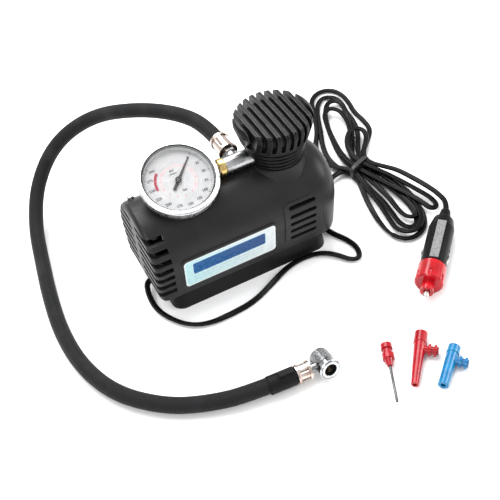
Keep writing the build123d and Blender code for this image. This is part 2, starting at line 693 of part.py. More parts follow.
spacer = spacer - gdisc(dial_r - 1.2, dial_h - 1, 0)
save((lens + spacer).solids()[0], "gauge_lens")
needle_h = dial_h + 1.2
za = radians(zero_angle)
zx = Vector(1, 0, 0) * cos(za) + gn.cross(Vector(1, 0, 0)) * sin(za)
npl = Plane(origin=gc + gn * needle_h, x_dir=zx, z_dir=gn)
pointer = Polygon((-needle_tail, -1.1), (-needle_tail, 1.1), (0, 1.0), (needle_len, 0.25),
                  (needle_len, -0.25), (0, -1.0), align=None)
point = extrude(npl * pointer, amount=0.5)
point = point + Solid.make_cylinder(2.2, 1.4, npl)
point = point + Solid.make_cylinder(0.9, 4.6, gplane(dial_h - 3.0))
save(point.solids()[0], "gauge_needle")

# ================================================================ air hose
ca = radians(chuck_tilt)
cdir = Vector(0, -cos(ca), sin(ca))
cc = Vector(chuck_x, chuck_y, chuck_z)
fer_dir = Vector(1, -0.07, 0).normalized()
neck_s = -2.6            # where the hose neck meets the chuck, along the chuck
neck_at = cc + cdir * neck_s
fer_end = Vector(chuck_x - chuck_r - 1.4, neck_at.Y, neck_at.Z)
fer_start = fer_end - fer_dir * 13.0
hose_tip = fer_end - fer_dir * 3.0
lead_in = fer_start - fer_dir * 34.0
hose_points = [
    (tee_x, hose_in_y, pipe_z),
    (tee_x, 46.0, pipe_z),
    (-2.0, 71.5, pipe_z - 0.8),
    (-26.0, 98.5, pipe_z - 6.4),
    (-55.5, 125.0, 70.4),
    (-89.0, 137.0, 52.5),
    (-117.0, 131.0, 29.5),
    (-135.5, 105.0, 11.5),
    (-141.5, 70.0, 6.2),
    (-143.5, 30.0, 6.0),
    (-145.5, -10.0, 6.0),
    (-142.0, -47.5, 6.0),
    (-129.5, -80.5, 6.0),
    (-105.0, -107.0, 6.2),
    (-80.0, -119.6, 6.8),
    (lead_in.X, lead_in.Y, lead_in.Z),
    (hose_tip.X, hose_tip.Y, hose_tip.Z),
]
hose = route(hose_points, hose_d, "air_hose")
save(hose, "air_hose")
s0 = fer_start - fer_dir * 1.0
sl = Plane(origin=s0, z_dir=-fer_dir)
sleeve = Solid.make_cylinder(sleeve_r, sleeve_l, sl) - Solid.make_cylinder(hose_d / 2 + seat, 40.0, sl)
clip = Plane(origin=s0 - fer_dir * 6.0 + Vector(0, 0, sleeve_r - 0.9), x_dir=fer_dir, z_dir=(0, 0, 1))
tab = extrude(clip * Rectangle(11.0, 4.4), amount=2.6)
save((sleeve + tab).solids()[0], "hose_end_sleeve")
save(ferrule(tuple(fer_start), tuple(fer_dir), ferrule_r, 10.2, hose_d / 2 + seat), "end_ferrule")


def cpl(s):
    return Plane(origin=cc + cdir * s, z_dir=cdir)


chuck_face = 3.6
bore_s = -3.0
body = Solid.make_cylinder(chuck_r, chuck_back + 1.0, cpl(-chuck_back))
body = body + Solid.make_cylinder(seal_r - gap, chuck_face - 0.5, cpl(0.5))
neck_from = fer_end - fer_dir * 2.8
neck = Plane(origin=neck_from, z_dir=fer_dir)
body = body + Solid.make_cylinder(3.4, 7.0, neck)
body = body - Solid.make_cylinder(3.0, 7.0, cpl(-chuck_back + 3.0))
body = body - Solid.make_cylinder(chuck_bore_r, 9.0, cpl(bore_s))
body = body - Solid.make_cylinder(4.9, 7.0, cpl(-chuck_back - 3.9))
save(max(body.solids(), key=lambda q: q.volume), "chuck_body")
tail = Solid.make_cylinder(4.8, 4.4, cpl(-chuck_back - 1.4))
save(tail, "chuck_plug")
nut = Solid.make_cylinder(chuck_nut_r, chuck_nut_l, cpl(1.0 + gap))
nut = nut.chamfer(0.9, None, [e for e in nut.edges() if e.length > 20])
nut_end = 1.0 + gap + chuck_nut_l
nut = nut - Solid.make_cylinder(seal_r, nut_end - 0.6, cpl(0))
nut = nut - Solid.make_cylinder(chuck_bore_r + 0.5, 20.0, cpl(0))
save(max(nut.solids(), key=lambda q: q.volume), "chuck_nut")
seal = Solid.make_cylinder(seal_r - gap, nut_end - 0.6 - gap - chuck_face, cpl(chuck_face))
seal = seal - Solid.make_cylinder(chuck_bore_r, 9, cpl(1))
save(seal, "chuck_seal")
spindle = Solid.make_cylinder(2.9, 2.4, cpl(-chuck_back + 3.0)) + Solid.make_cylinder(
    1.0, bore_s - 0.4 + chuck_back - 3.2, cpl(-chuck_back + 3.2))
save(spindle.solids()[0], "chuck_pin")

# ================================================================ power lead
front_points = [
    (wall_x + 6.0, grommet_y, grommet_z),
    (-73.0, grommet_y, grommet_z),
    (-79.0, -8.5, 5.6),
    (-79.0, -22.0, 2.6),
    (-72.0, -35.5, lead_z),
    (-62.5, -48.5, lead_z),
    (-49.5, -56.6, lead_z),
    (-32.5, -57.2, lead_z),
    (-12.0, -54.0, lead_z),
    (8.0, -45.0, lead_z),
    (25.0, -36.8, lead_z),
    (41.0, -34.6, lead_z),
    (54.5, -37.0, lead_z),
    (63.5, -44.5, lead_z),
    (70.0, -54.0, lead_z),
    (78.2, -56.8, lead_z),
    (82.6, -49.4, lead_z),
    (79.0, -36.5, lead_z),
    (71.5, -23.0, lead_z),
    (68.8, -7.5, lead_z),
    (74.5, 8.0, lead_z),
    (86.5, 19.0, 2.9),
    (100.5, 24.5, 4.8),
    (115.5, 25.5, 6.6),
]
save(route(front_points, lead_d, "lead_front"), "lead_front")

outline = [
    (115.0, 22.0), (114.5, 8.0), (109.5, -12.0), (105.5, -33.0), (105.0, -50.0), (109.5, -62.0),
    (118.0, -66.5), (129.0, -64.0), (139.0, -57.5), (150.0, -49.5), (156.0, -43.0), (153.0, -33.0),
    (146.0, -18.0), (140.5, 0.0), (137.8, 16.0), (140.5, 30.0), (150.5, 44.0), (161.0, 56.0),
    (170.0, 70.0), (172.0, 86.0), (172.0, 104.0), (172.5, 121.0), (168.0, 133.5), (157.5, 137.5),
    (145.5, 132.5), (135.0, 120.5), (123.5, 96.0), (110.5, 70.0), (106.0, 55.0), (112.0, 38.0),
]
flat = Polygon(*outline, align=None)
hank = extrude(flat, amount=hank_top)
hank = hank.solids()[0]
uprights = [e for e in hank.edges() if abs(e.tangent_at(0).Z) > 0.9]
hank = hank.fillet(hank_edge, uprights)
rims = [e for e in hank.edges() if abs(e.center().Z - hank_top) < 1e-3 or abs(e.center().Z) < 1e-3]
hank = hank.fillet(3.0, rims)
th = radians(tie_turn)
tdir = Vector(cos(th), sin(th), 0)
tside = Vector(-sin(th), cos(th), 0)
tc = Vector(tie_at[0], tie_at[1], hank_top / 2)
tpl = Plane(origin=tc - tdir * (tie_w / 2), x_dir=tside, z_dir=tdir)
waist_w = 21.0
waist_h = hank_top - 2 * tie_t - 0.6
collar_cut = extrude(Plane(origin=tc - tdir * (tie_w / 2 + 0.4), x_dir=tside, z_dir=tdir)
                     * Rectangle(60, 40), amount=tie_w + 0.8)
inside_w = extrude(Plane(origin=tc - tdir * (tie_w / 2 + 0.5), x_dir=tside, z_dir=tdir)
                   * RectangleRounded(waist_w, waist_h, 3.5), amount=tie_w + 1.0)
hank = hank - (collar_cut - inside_w)
hank = max(hank.solids(), key=lambda q: q.volume)
save(hank, "lead_hank")
band = extrude(tpl * RectangleRounded(waist_w + 0.4 + 2 * tie_t, waist_h + 0.4 + 2 * tie_t, 3.7 + tie_t),
               amount=tie_w)
band = band - extrude(tpl * RectangleRounded(waist_w + 0.4, waist_h + 0.4, 3.7), amount=tie_w)
save(band.solids()[0], "twist_tie")

pe = Vector(*plug_end)
pa = radians(plug_turn)
pd = Vector(cos(pa), sin(pa), 0)
tail_end = pe + pd * 3.0
tail_before = pe - pd * 9.0
tail_points = [
    (136.0, 24.5, 8.0),
    (144.5, 14.5, 8.6),
    (152.0, 3.0, 9.2),
    (158.5, -9.5, 9.8),
    (162.5, -23.0, 10.3),
    (164.3, -36.5, 10.5),
    (tail_before.X, tail_before.Y, 10.5),
    (tail_end.X, tail_end.Y, 10.5),
]
save(route(tail_points, lead_d, "lead_tail"), "lead_tail")


# ================================================================ 12 V plug
def ppl(s):
    return Plane(origin=pe + pd * s, x_dir=(0, 0, 1), z_dir=pd)


def pcyl(r, a, b):
    return Solid.make_cylinder(r, b - a, ppl(a))


s1 = relief_l
s2 = s1 + body_l
s3 = s2 + nose_l
s4 = s3 + nose_step_l
relief = Solid.make_cone(relief_r, relief_foot_r, s1, ppl(0))
for i in range(3):
    g = 2.2 + 2.8 * i
    relief = relief - (pcyl(9.0, g, g + 1.1) - pcyl(relief_r - 0.5 + 0.13 * g, g - 1, g + 3))
relief = relief + pcyl(relief_foot_r - 0.2, s1 - 0.2, s1 + 3.0)
relief = relief - pcyl(lead_d / 2 + seat, -1, s1 + 9)
save(relief.solids()[0], "plug_relief")
pb = Solid.make_cone(body_r0, body_r1, 9.0, ppl(s1)) + pcyl(body_r1, s1 + 9.0, s2)
pb = pb - pcyl(body_r0 - plug_wall, s1 + 4.0, s1 + 9.0)
pb = pb - pcyl(body_r1 - plug_wall, s1 + 9.0, s2 + 1)
pb = pb - pcyl(relief_foot_r, s1 - 1, s1 + 6)
side = Vector(-pd.Y, pd.X, 0)
contact_l = 15.0
contact_s = s2 - 17.5
for k in (-1, 1):
    slot_pl = Plane(origin=pe + pd * contact_s, x_dir=side, z_dir=pd)
    slot = extrude(slot_pl * Pos(k * (body_r1 + 1), 0) * Rectangle(8.0, 4.6), amount=contact_l)
    pb = pb - slot
stripe_l = s2 - s1 - 9.0
stripe_pl = Plane(origin=pe + pd * (s1 + 8.0), x_dir=side, z_dir=pd)
pb = pb - extrude(stripe_pl * Pos(0, body_r1 + 1.6) * Rectangle(9.0, 4.6), amount=stripe_l)
save(max(pb.solids(), key=lambda q: q.volume), "plug_body")
strip = extrude(stripe_pl * Pos(0, body_r1 - 0.3) * Rectangle(6.4, 0.7), amount=stripe_l - 0.4)
save(strip.solids()[0], "plug_strip")
springs = []
for k in (-1, 1):
    p0 = pe + pd * (contact_s + gap)
    inn = (body_r1 - 3.0) * k
    out = (body_r1 + 0.9) * k
    leaf = [p0 + side * inn, p0 + side * (out - 0.6 * k) + pd * 3.5, p0 + side * out + pd * 7.0,
            p0 + side * (out - 0.6 * k) + pd * 10.5, p0 + side * inn + pd * (contact_l - 2 * gap)]
    back = [q - side * (0.7 * k) for q in reversed(leaf)]
    f = Face(Wire.make_polygon([q - Vector(0, 0, 1.9) for q in leaf + back], close=True))
    springs.append(extrude(f, amount=3.8, dir=(0, 0, 1)).solids()[0])
save(Compound(children=springs), "plug_contacts")
nose = pcyl(nose_r, s2 + gap, s3)
nose = nose.chamfer(1.0, None, [e for e in nose.edges() if e.length > 40])
nose = nose + pcyl(nose_step_r, s3 - 0.5, s4)
nose = nose - pcyl(body_r1 - plug_wall, s2 - 1, s3 - 2.5)
nose = nose - pcyl(tip_r + 0.1 + gap, s3 - 4, s4 + 1)
for i in range(6):
    t = radians(60 * i)
    q = ppl(s3 - 7.0)
    o = q.origin + (Vector(0, 0, 1) * cos(t) + side * sin(t)) * (nose_r + 0.7)
    nose = nose - Solid.make_cylinder(1.5, 9.0, Plane(origin=o, z_dir=pd))
save(nose.solids()[0], "plug_nose")
flange_s = s3 - 2.5 - gap - 1.4
tip = pcyl(tip_r, flange_s, s4 + tip_out - 1.4)
tip = tip + Solid.make_sphere(tip_r).moved(Location(pe + pd * (s4 + tip_out - 1.4)))
tip = tip + pcyl(3.4, flange_s, flange_s + 1.4)
save(tip.solids()[0], "plug_tip")
tip_travel = 2.6
spring_s = flange_s - tip_travel - gap
fuse = pcyl(fuse_r, spring_s - 4.0 - fuse_l, spring_s - 4.0)
save(fuse, "plug_fuse")
coil = pcyl(3.3, spring_s - 3.7, spring_s) - pcyl(2.5, spring_s - 9, spring_s + 1)
carrier = pcyl(4.6, spring_s - 6.5, spring_s - 3.7) - pcyl(fuse_r + seat, spring_s - 9, spring_s - 4.0 + 0.0)
carrier = carrier - pcyl(2.5, spring_s - 9, spring_s)
web = pcyl(body_r1 - plug_wall - seat, spring_s - 6.5, spring_s - 4.5) - pcyl(4.5, spring_s - 9, spring_s)
save((coil + carrier + web).solids()[0], "plug_carrier")
print("plug length", s4 + tip_out - 1.4 + tip_r)


# ================================================================ accessories
def lay(p, q, z):
    p = Vector(p[0], p[1], z)
    q = Vector(q[0], q[1], z)
    return p, (q - p).normalized()


def along(p, d, r, a, b):
    return Solid.make_cylinder(r, b - a, Plane(origin=p + d * a, z_dir=d))


np0, nd = lay((47.5, -137.4), (40.0, -154.0), 4.3)
nb = along(np0, nd, 4.0, 0, 4.0) + along(np0, nd, 3.0, 4.0, 8.0) + along(np0, nd, 4.1, 8.0, 12.5)
nb = nb + Solid.make_cone(3.3, 1.6, needle_base_l - 12.5, Plane(origin=np0 + nd * 12.5, z_dir=nd))
nb = nb - along(np0, nd, 1.6, -1, 8.0)
nb = nb - along(np0, nd, needle_tube_r + 0.02, 9.0, needle_base_l + 1)
save(nb.solids()[0], "needle_base")
nt = along(np0, nd, needle_tube_r, 9.5, needle_base_l + needle_tube_l)
nt = nt - along(np0, nd, needle_bore_r, 9.0, needle_base_l + needle_tube_l + 1)
save(nt, "needle_tube")

cp0, cd = lay((73.6, -141.8), (45.8, -174.6), cone_r0 + 0.1)
cb = Vector(cd.Y, -cd.X, 0)
cb = cb if cb.X > 0 else -cb
cz = along(cp0, cd, cone_r0, 0, 9.0)
cz = cz + Solid.make_cone(cone_r0 - 0.4, cone_r1, cone_l - 9.0, Plane(origin=cp0 + cd * 9.0, z_dir=cd))
mid = cp0 + cd * 13.5
cz = cz + Solid.make_cylinder(branch_r, branch_l, Plane(origin=mid, z_dir=cb))
for h in (6.0, 10.0):
    cz = cz + Solid.make_cylinder(4.2, 1.8, Plane(origin=mid + cb * h, z_dir=cb))
cz = cz - along(cp0, cd, 1.5, -1, cone_l + 1)
cz = cz - Solid.make_cylinder(1.4, branch_l + 1, Plane(origin=mid, z_dir=cb))
save(cz.solids()[0], "cone_nozzle")

bp0, bd = lay((86.1, -162.9), (61.1, -184.6), blue_r0 + 0.1)
bb = Vector(bd.Y, -bd.X, 0)
bb = bb if bb.X > 0 else -bb
bz = along(bp0, bd, blue_r0, 0, 6.0)
bz = bz + Solid.make_cone(blue_r0 - 0.5, blue_r1, blue_l - 6.0, Plane(origin=bp0 + bd * 6.0, z_dir=bd))
mid = bp0 + bd * 11.0
bz = bz + Solid.make_cylinder(branch_r, branch_l - 1, Plane(origin=mid, z_dir=bb))
for h in (5.6, 9.4):
    bz = bz + Solid.make_cylinder(4.1, 1.7, Plane(origin=mid + bb * h, z_dir=bb))
bz = bz - along(bp0, bd, 1.7, -1, blue_l + 1)
bz = bz - Solid.make_cylinder(1.4, branch_l + 1, Plane(origin=mid, z_dir=bb))
save(bz.solids()[0], "mattress_nozzle")
print("done")
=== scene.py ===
import math

import bmesh
import bpy
from mathutils import Matrix, Vector


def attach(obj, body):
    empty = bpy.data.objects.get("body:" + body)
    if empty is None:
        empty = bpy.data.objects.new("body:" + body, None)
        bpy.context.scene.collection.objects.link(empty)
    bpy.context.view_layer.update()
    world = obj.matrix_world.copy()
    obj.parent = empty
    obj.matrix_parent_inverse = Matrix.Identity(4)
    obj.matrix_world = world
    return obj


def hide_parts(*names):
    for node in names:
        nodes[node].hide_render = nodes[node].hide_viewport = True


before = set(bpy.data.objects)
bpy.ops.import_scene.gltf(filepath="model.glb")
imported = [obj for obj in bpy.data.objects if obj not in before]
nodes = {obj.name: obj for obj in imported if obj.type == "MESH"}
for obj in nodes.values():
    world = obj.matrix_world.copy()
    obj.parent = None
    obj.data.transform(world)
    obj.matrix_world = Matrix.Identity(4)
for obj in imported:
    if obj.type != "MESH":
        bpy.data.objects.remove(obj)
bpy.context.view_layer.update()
MM = 0.001

# ---- Viewpoint
# A camera above the front left of the inflator, rolled a little, with the
# dial, the label, the whole hose and the three loose adapters in its frame.
VIEW_PLACE = (-172.75, -448.65, 506.66)
VIEW_RIGHT = (0.88465, -0.45883, -0.08292)
VIEW_UP = (0.38560, 0.61996, 0.68334)
VIEW_BACK = (-0.26213, -0.63649, 0.72537)
lens = bpy.data.cameras.new("viewpoint")
lens.lens, lens.sensor_width = 64.8, 36.0
viewpoint = bpy.data.objects.new("viewpoint", lens)
viewpoint.matrix_world = Matrix.Translation(Vector(VIEW_PLACE) * MM) @ Matrix(
    (VIEW_RIGHT, VIEW_UP, VIEW_BACK)).transposed().to_4x4()
bpy.context.scene.collection.objects.link(viewpoint)
bpy.context.scene.camera = viewpoint

# ---- Air hose
# Rubber tube under a woven black textile jacket, 11.5 mm thick and 0.57 m long.
# It leaves the manifold towards the back, drops to the table and runs round to
# the chuck.  The jacket is two sets of yarn that cross over and under.
HOSE_ROUTE = [
    # out of the manifold, over the back and down to the table
    (9.5, 12.5, 88.4), (9.5, 46, 88.4), (-2, 72.5, 88.6), (-26, 100.5, 84.8),
    (-55.5, 127.5, 73.6), (-87.5, 138, 54), (-113, 128.5, 29.5), (-128.5, 101, 11.5),
    # along the table, round the left and to the chuck
    (-135.5, 66.5, 6.2), (-142, 29, 6), (-146, -10, 6), (-143.2, -47.5, 6),
    (-130.5, -81, 6), (-105, -107, 6.2), (-80, -119.6, 6.8),
    (-53.585, -128.095, 8.971), (-9.693, -131.168, 8.971),
]
HOSE_THICK = 11.5
HOSE_STEP = 0.56        # between two rings of points along the jacket
JACKET_POINTS = 64      # points in one ring
YARNS = 16              # yarns that run each way round the jacket
YARN_RISE = 0.16        # how far a yarn stands over the ones it crosses


def made_real(holder):
    """The mesh that a curve, a text or a tree of nodes comes to; its holder goes."""
    bpy.context.scene.collection.objects.link(holder)
    bpy.context.view_layer.update()
    mesh = bpy.data.meshes.new_from_object(
        holder.evaluated_get(bpy.context.evaluated_depsgraph_get()))
    bpy.data.objects.remove(holder)
    return mesh


def laid_line(points, name):
    """The smooth line that a cord lies on: a NURBS curve that passes near these points."""
    curve = bpy.data.curves.new(name, "CURVE")
    curve.dimensions, curve.resolution_u = "3D", 24
    spline = curve.splines.new("NURBS")
    spline.points.add(len(points) - 1)
    for point, place in zip(spline.points, points):
        point.co = [c * MM for c in place] + [1]
    spline.order_u = 3
    spline.use_endpoint_u = True
    mesh = made_real(bpy.data.objects.new(name, curve))
    line = [v.co.copy() for v in mesh.vertices]
    bpy.data.meshes.remove(mesh)
    return line


def paced(line, step):
    """The same line with its points evenly spaced, about a step apart, and its length."""
    runs = [(b - a).length for a, b in zip(line, line[1:])]
    total = sum(runs)
    count = round(total / step)
    out, i, done = [], 0, 0.0
    for k in range(count + 1):
        want = total * k / count
        while i < len(runs) - 1 and done + runs[i] < want:
            done += runs[i]
            i += 1
        out.append(line[i].lerp(line[i + 1], (want - done) / runs[i]))
    return out, total


def mesh_piece(name, verts, faces, material, smooth=True):
    """A piece in the scene from its points and faces."""
    mesh = bpy.data.meshes.new(name)
    mesh.from_pydata(verts, [], faces)
    mesh.materials.append(material)
    mesh.polygons.foreach_set("use_smooth", [smooth] * len(faces))
    piece = bpy.data.objects.new(name, mesh)
    bpy.context.scene.collection.objects.link(piece)
    return piece


def sleeve_on(name, line, total, rim, material):
    """A closed tube along a line, with a map of how far round and along each point is.

    rim(i, share, side, up) gives the ring of points round place i of the line.
    """
    verts, faces, sides = [], [], 0
    for i, place in enumerate(line):
        ahead = (line[min(i + 1, len(line) - 1)] - line[max(i - 1, 0)]).normalized()
        side = ahead.cross(Vector((0, 0, 1)))
        side = side.normalized() if side.length > 1e-4 else Vector((1, 0, 0))
        up = side.cross(ahead)
        ring = rim(i, i / (len(line) - 1), side, up)
        sides = len(ring)
        verts += [place + p for p in ring]
    for i in range(len(line) - 1):
        for k in range(sides):
            a, b = i * sides + k, i * sides + (k + 1) % sides
            faces.append((a, a + sides, b + sides, b))
    faces.append(tuple(range(sides)))
    faces.append(tuple(range((len(line) - 1) * sides, len(line) * sides))[::-1])
    piece = mesh_piece(name, verts, faces, material)
    uv = piece.data.uv_layers.new(name="along").data
    for i in range(len(line) - 1):
        for k in range(sides):
            at = 4 * (i * sides + k)
            a, b = total * i / (len(line) - 1), total * (i + 1) / (len(line) - 1)
            for j, (x, y) in enumerate(((k, a), (k, b), (k + 1, b), (k + 1, a))):
                uv[at + j].uv = (x / sides, y)
    return piece


class Wiring:
    """Puts values, links and sums into one tree of nodes."""

    def put(self, socket, value):
        if isinstance(value, bpy.types.NodeSocket):
            self.tree.links.new(value, socket)
        else:
            socket.default_value = value

    def sum(self, how, *values):
        made = self.tree.nodes.new("ShaderNodeMath")
        made.operation = how
        for socket, value in zip(made.inputs, values):
            self.put(socket, value)
        return made.outputs[0]


class Mix(Wiring):
    """A short hand for wiring one material."""

    def __init__(self, name):
        self.material = bpy.data.materials.new(name)
        self.material.use_nodes = True
        self.tree = self.material.node_tree
        self.skin = self.tree.nodes["Principled BSDF"]
        self.place = self.node("TexCoord").outputs["Object"]

    def node(self, kind, **settings):
        made = self.tree.nodes.new("ShaderNode" + kind)
        for key, value in settings.items():
            setattr(made, key, value)
        return made

    def noise(self, scale, detail=3.0, rough=0.55, at=None):
        made = self.node("TexNoise")
        self.put(made.inputs["Vector"], at or self.place)
        made.inputs["Scale"].default_value = scale
        made.inputs["Detail"].default_value = detail
        made.inputs["Roughness"].default_value = rough
        return made.outputs["Fac"]

    def span(self, value, low, high, to_low, to_high):
        made = self.node("MapRange")
        for key, x in (("Value", value), ("From Min", low), ("From Max", high),
                       ("To Min", to_low), ("To Max", to_high)):
            self.put(made.inputs[key], x)
        return made.outputs[0]

    def tint(self, share, first, second):
        made = self.node("Mix", data_type="RGBA")
        self.put(made.inputs[0], share)
        for socket, colour in ((made.inputs[6], first), (made.inputs[7], second)):
            linked = isinstance(colour, bpy.types.NodeSocket)
            self.put(socket, colour if linked else (*colour, 1))
        return made.outputs[2]

    def relief(self, height, depth, normal=None, strength=1.0):
        made = self.node("Bump")
        made.inputs["Strength"].default_value = strength
        made.inputs["Distance"].default_value = depth * MM
        self.put(made.inputs["Height"], height)
        if normal:
            self.put(made.inputs["Normal"], normal)
        return made.outputs["Normal"]

    def soft_edge(self, radius):
        made = self.node("Bevel", samples=4)
        made.inputs["Radius"].default_value = radius * MM
        return made.outputs["Normal"]

    def edge_share(self, rounded, low=0.9, high=0.995):
        """1 on worn edges and 0 on flats: where the rounded normal leaves the true one."""
        made = self.node("VectorMath", operation="DOT_PRODUCT")
        self.put(made.inputs[0], rounded)
        self.put(made.inputs[1], self.node("NewGeometry").outputs["Normal"])
        return self.span(made.outputs["Value"], low, high, 1.0, 0.0)

    def set(self, **values):
        for key, value in values.items():
            self.put(self.skin.inputs[key.replace("_", " ")], value)
        return self.material


def woven_jacket():
    """Black yarns that cross over and under, a little fuzzy and worn paler in places, with painted
    shade: darker in the hollows between the yarns and paler on their crowns.
    """
    m = Mix("woven_jacket")
    along = m.node("SeparateXYZ")
    m.put(along.inputs[0], m.node("UVMap", uv_map="along").outputs[0])
    round_it = m.sum("MULTIPLY", along.outputs[0], float(YARNS))
    down_it = m.sum("MULTIPLY", along.outputs[1], YARNS / (math.pi * HOSE_THICK * MM))
    first, second = m.sum("ADD", round_it, down_it), m.sum("SUBTRACT", round_it, down_it)
    crown = []
    for yarn in (first, second):
        off = m.sum("SUBTRACT", m.sum("MULTIPLY", m.sum("FRACT", yarn), 2.0), 1.0)
        crown.append(m.sum("SUBTRACT", 1.0, m.sum("MULTIPLY", off, off)))
    over = m.sum("MODULO", m.sum("ADD", m.sum("FLOOR", first), m.sum("FLOOR", m.sum(
        "ADD", second, 400.0))), 2.0)
    height = m.sum("ADD", m.sum("MULTIPLY", over, crown[0]), m.sum(
        "MULTIPLY", m.sum("SUBTRACT", 1.0, over), crown[1]))
    fibre = m.noise(3800, 2.0)
    body = m.sum("ADD", m.sum("MULTIPLY", height, 0.75), m.sum("MULTIPLY", fibre, 0.35))
    worn = m.noise(55, 2.0)
    # painted shade: the colour runs from near black in the hollows between yarns to paler on the
    # yarn crowns, with fibre noise mixed in
    colour = m.tint(m.span(body, 0.15, 1.0, 0.0, 1.0),
                    (0.0008, 0.0008, 0.001), (0.014, 0.0143, 0.0155))
    colour = m.tint(m.span(worn, 0.5, 0.8, 0.0, 0.35), colour, (0.04, 0.041, 0.043))
    return m.set(Base_Color=colour, Roughness=m.span(fibre, 0.3, 0.7, 0.42, 0.7),
                 Sheen_Weight=0.04, Sheen_Roughness=0.35, Specular_IOR_Level=0.14,
                 Normal=m.relief(body, 0.3))


def jacket_rim(step):
    """Rings of the jacket: each point stands where the upper of its two yarns is."""
    def rim(i, share, side, up):
        ring = []
        for k in range(JACKET_POINTS):
            turn = k / JACKET_POINTS
            a = turn * YARNS + i * step / (math.pi * HOSE_THICK) * YARNS
            b = turn * YARNS - i * step / (math.pi * HOSE_THICK) * YARNS
            top = 1 - (2 * ((a if (math.floor(a) + math.floor(b)) % 2 else b) % 1) - 1) ** 2
            out = (HOSE_THICK / 2 - YARN_RISE + YARN_RISE * top) * MM
            t = 2 * math.pi * turn
            ring.append(side * (math.cos(t) * out) + up * (math.sin(t) * out))
        return ring
    return rim


hose_line, hose_long = paced(laid_line(HOSE_ROUTE, "hose_line"), HOSE_STEP * MM)
hose = sleeve_on("woven_hose", hose_line, hose_long,
                 jacket_rim(hose_long / MM / (len(hose_line) - 1)), woven_jacket())
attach(hose, "inflator")
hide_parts("air_hose")

# ---- Power lead
# Black PVC twin flex, two conductors side by side, 4.4 mm wide and 2.2 m long.
# It leaves the grommet, runs round the front of the base, and most of it is
# folded in a loose bundle of turns of different size, tied at the waist.
LEAD_CORE = 1.13        # radius of each insulated conductor
LEAD_APART = 1.07       # each conductor's centre from the middle of the flex
LEAD_STEP = 1.6         # between two rings of points along the flex
LEAD_RUN = 0.42         # the run from the grommet to the bundle, in metres
RUN_TWIST, BUNDLE_TWIST = 1.0, 0.35     # how freely the flex twists in each
WAIST_HOLD, WAIST_EASE = 6, 25          # the tie holds it flat, and lets go over this far
END_EASE = 60           # it lies flat again in the last sixtieth, at the plug
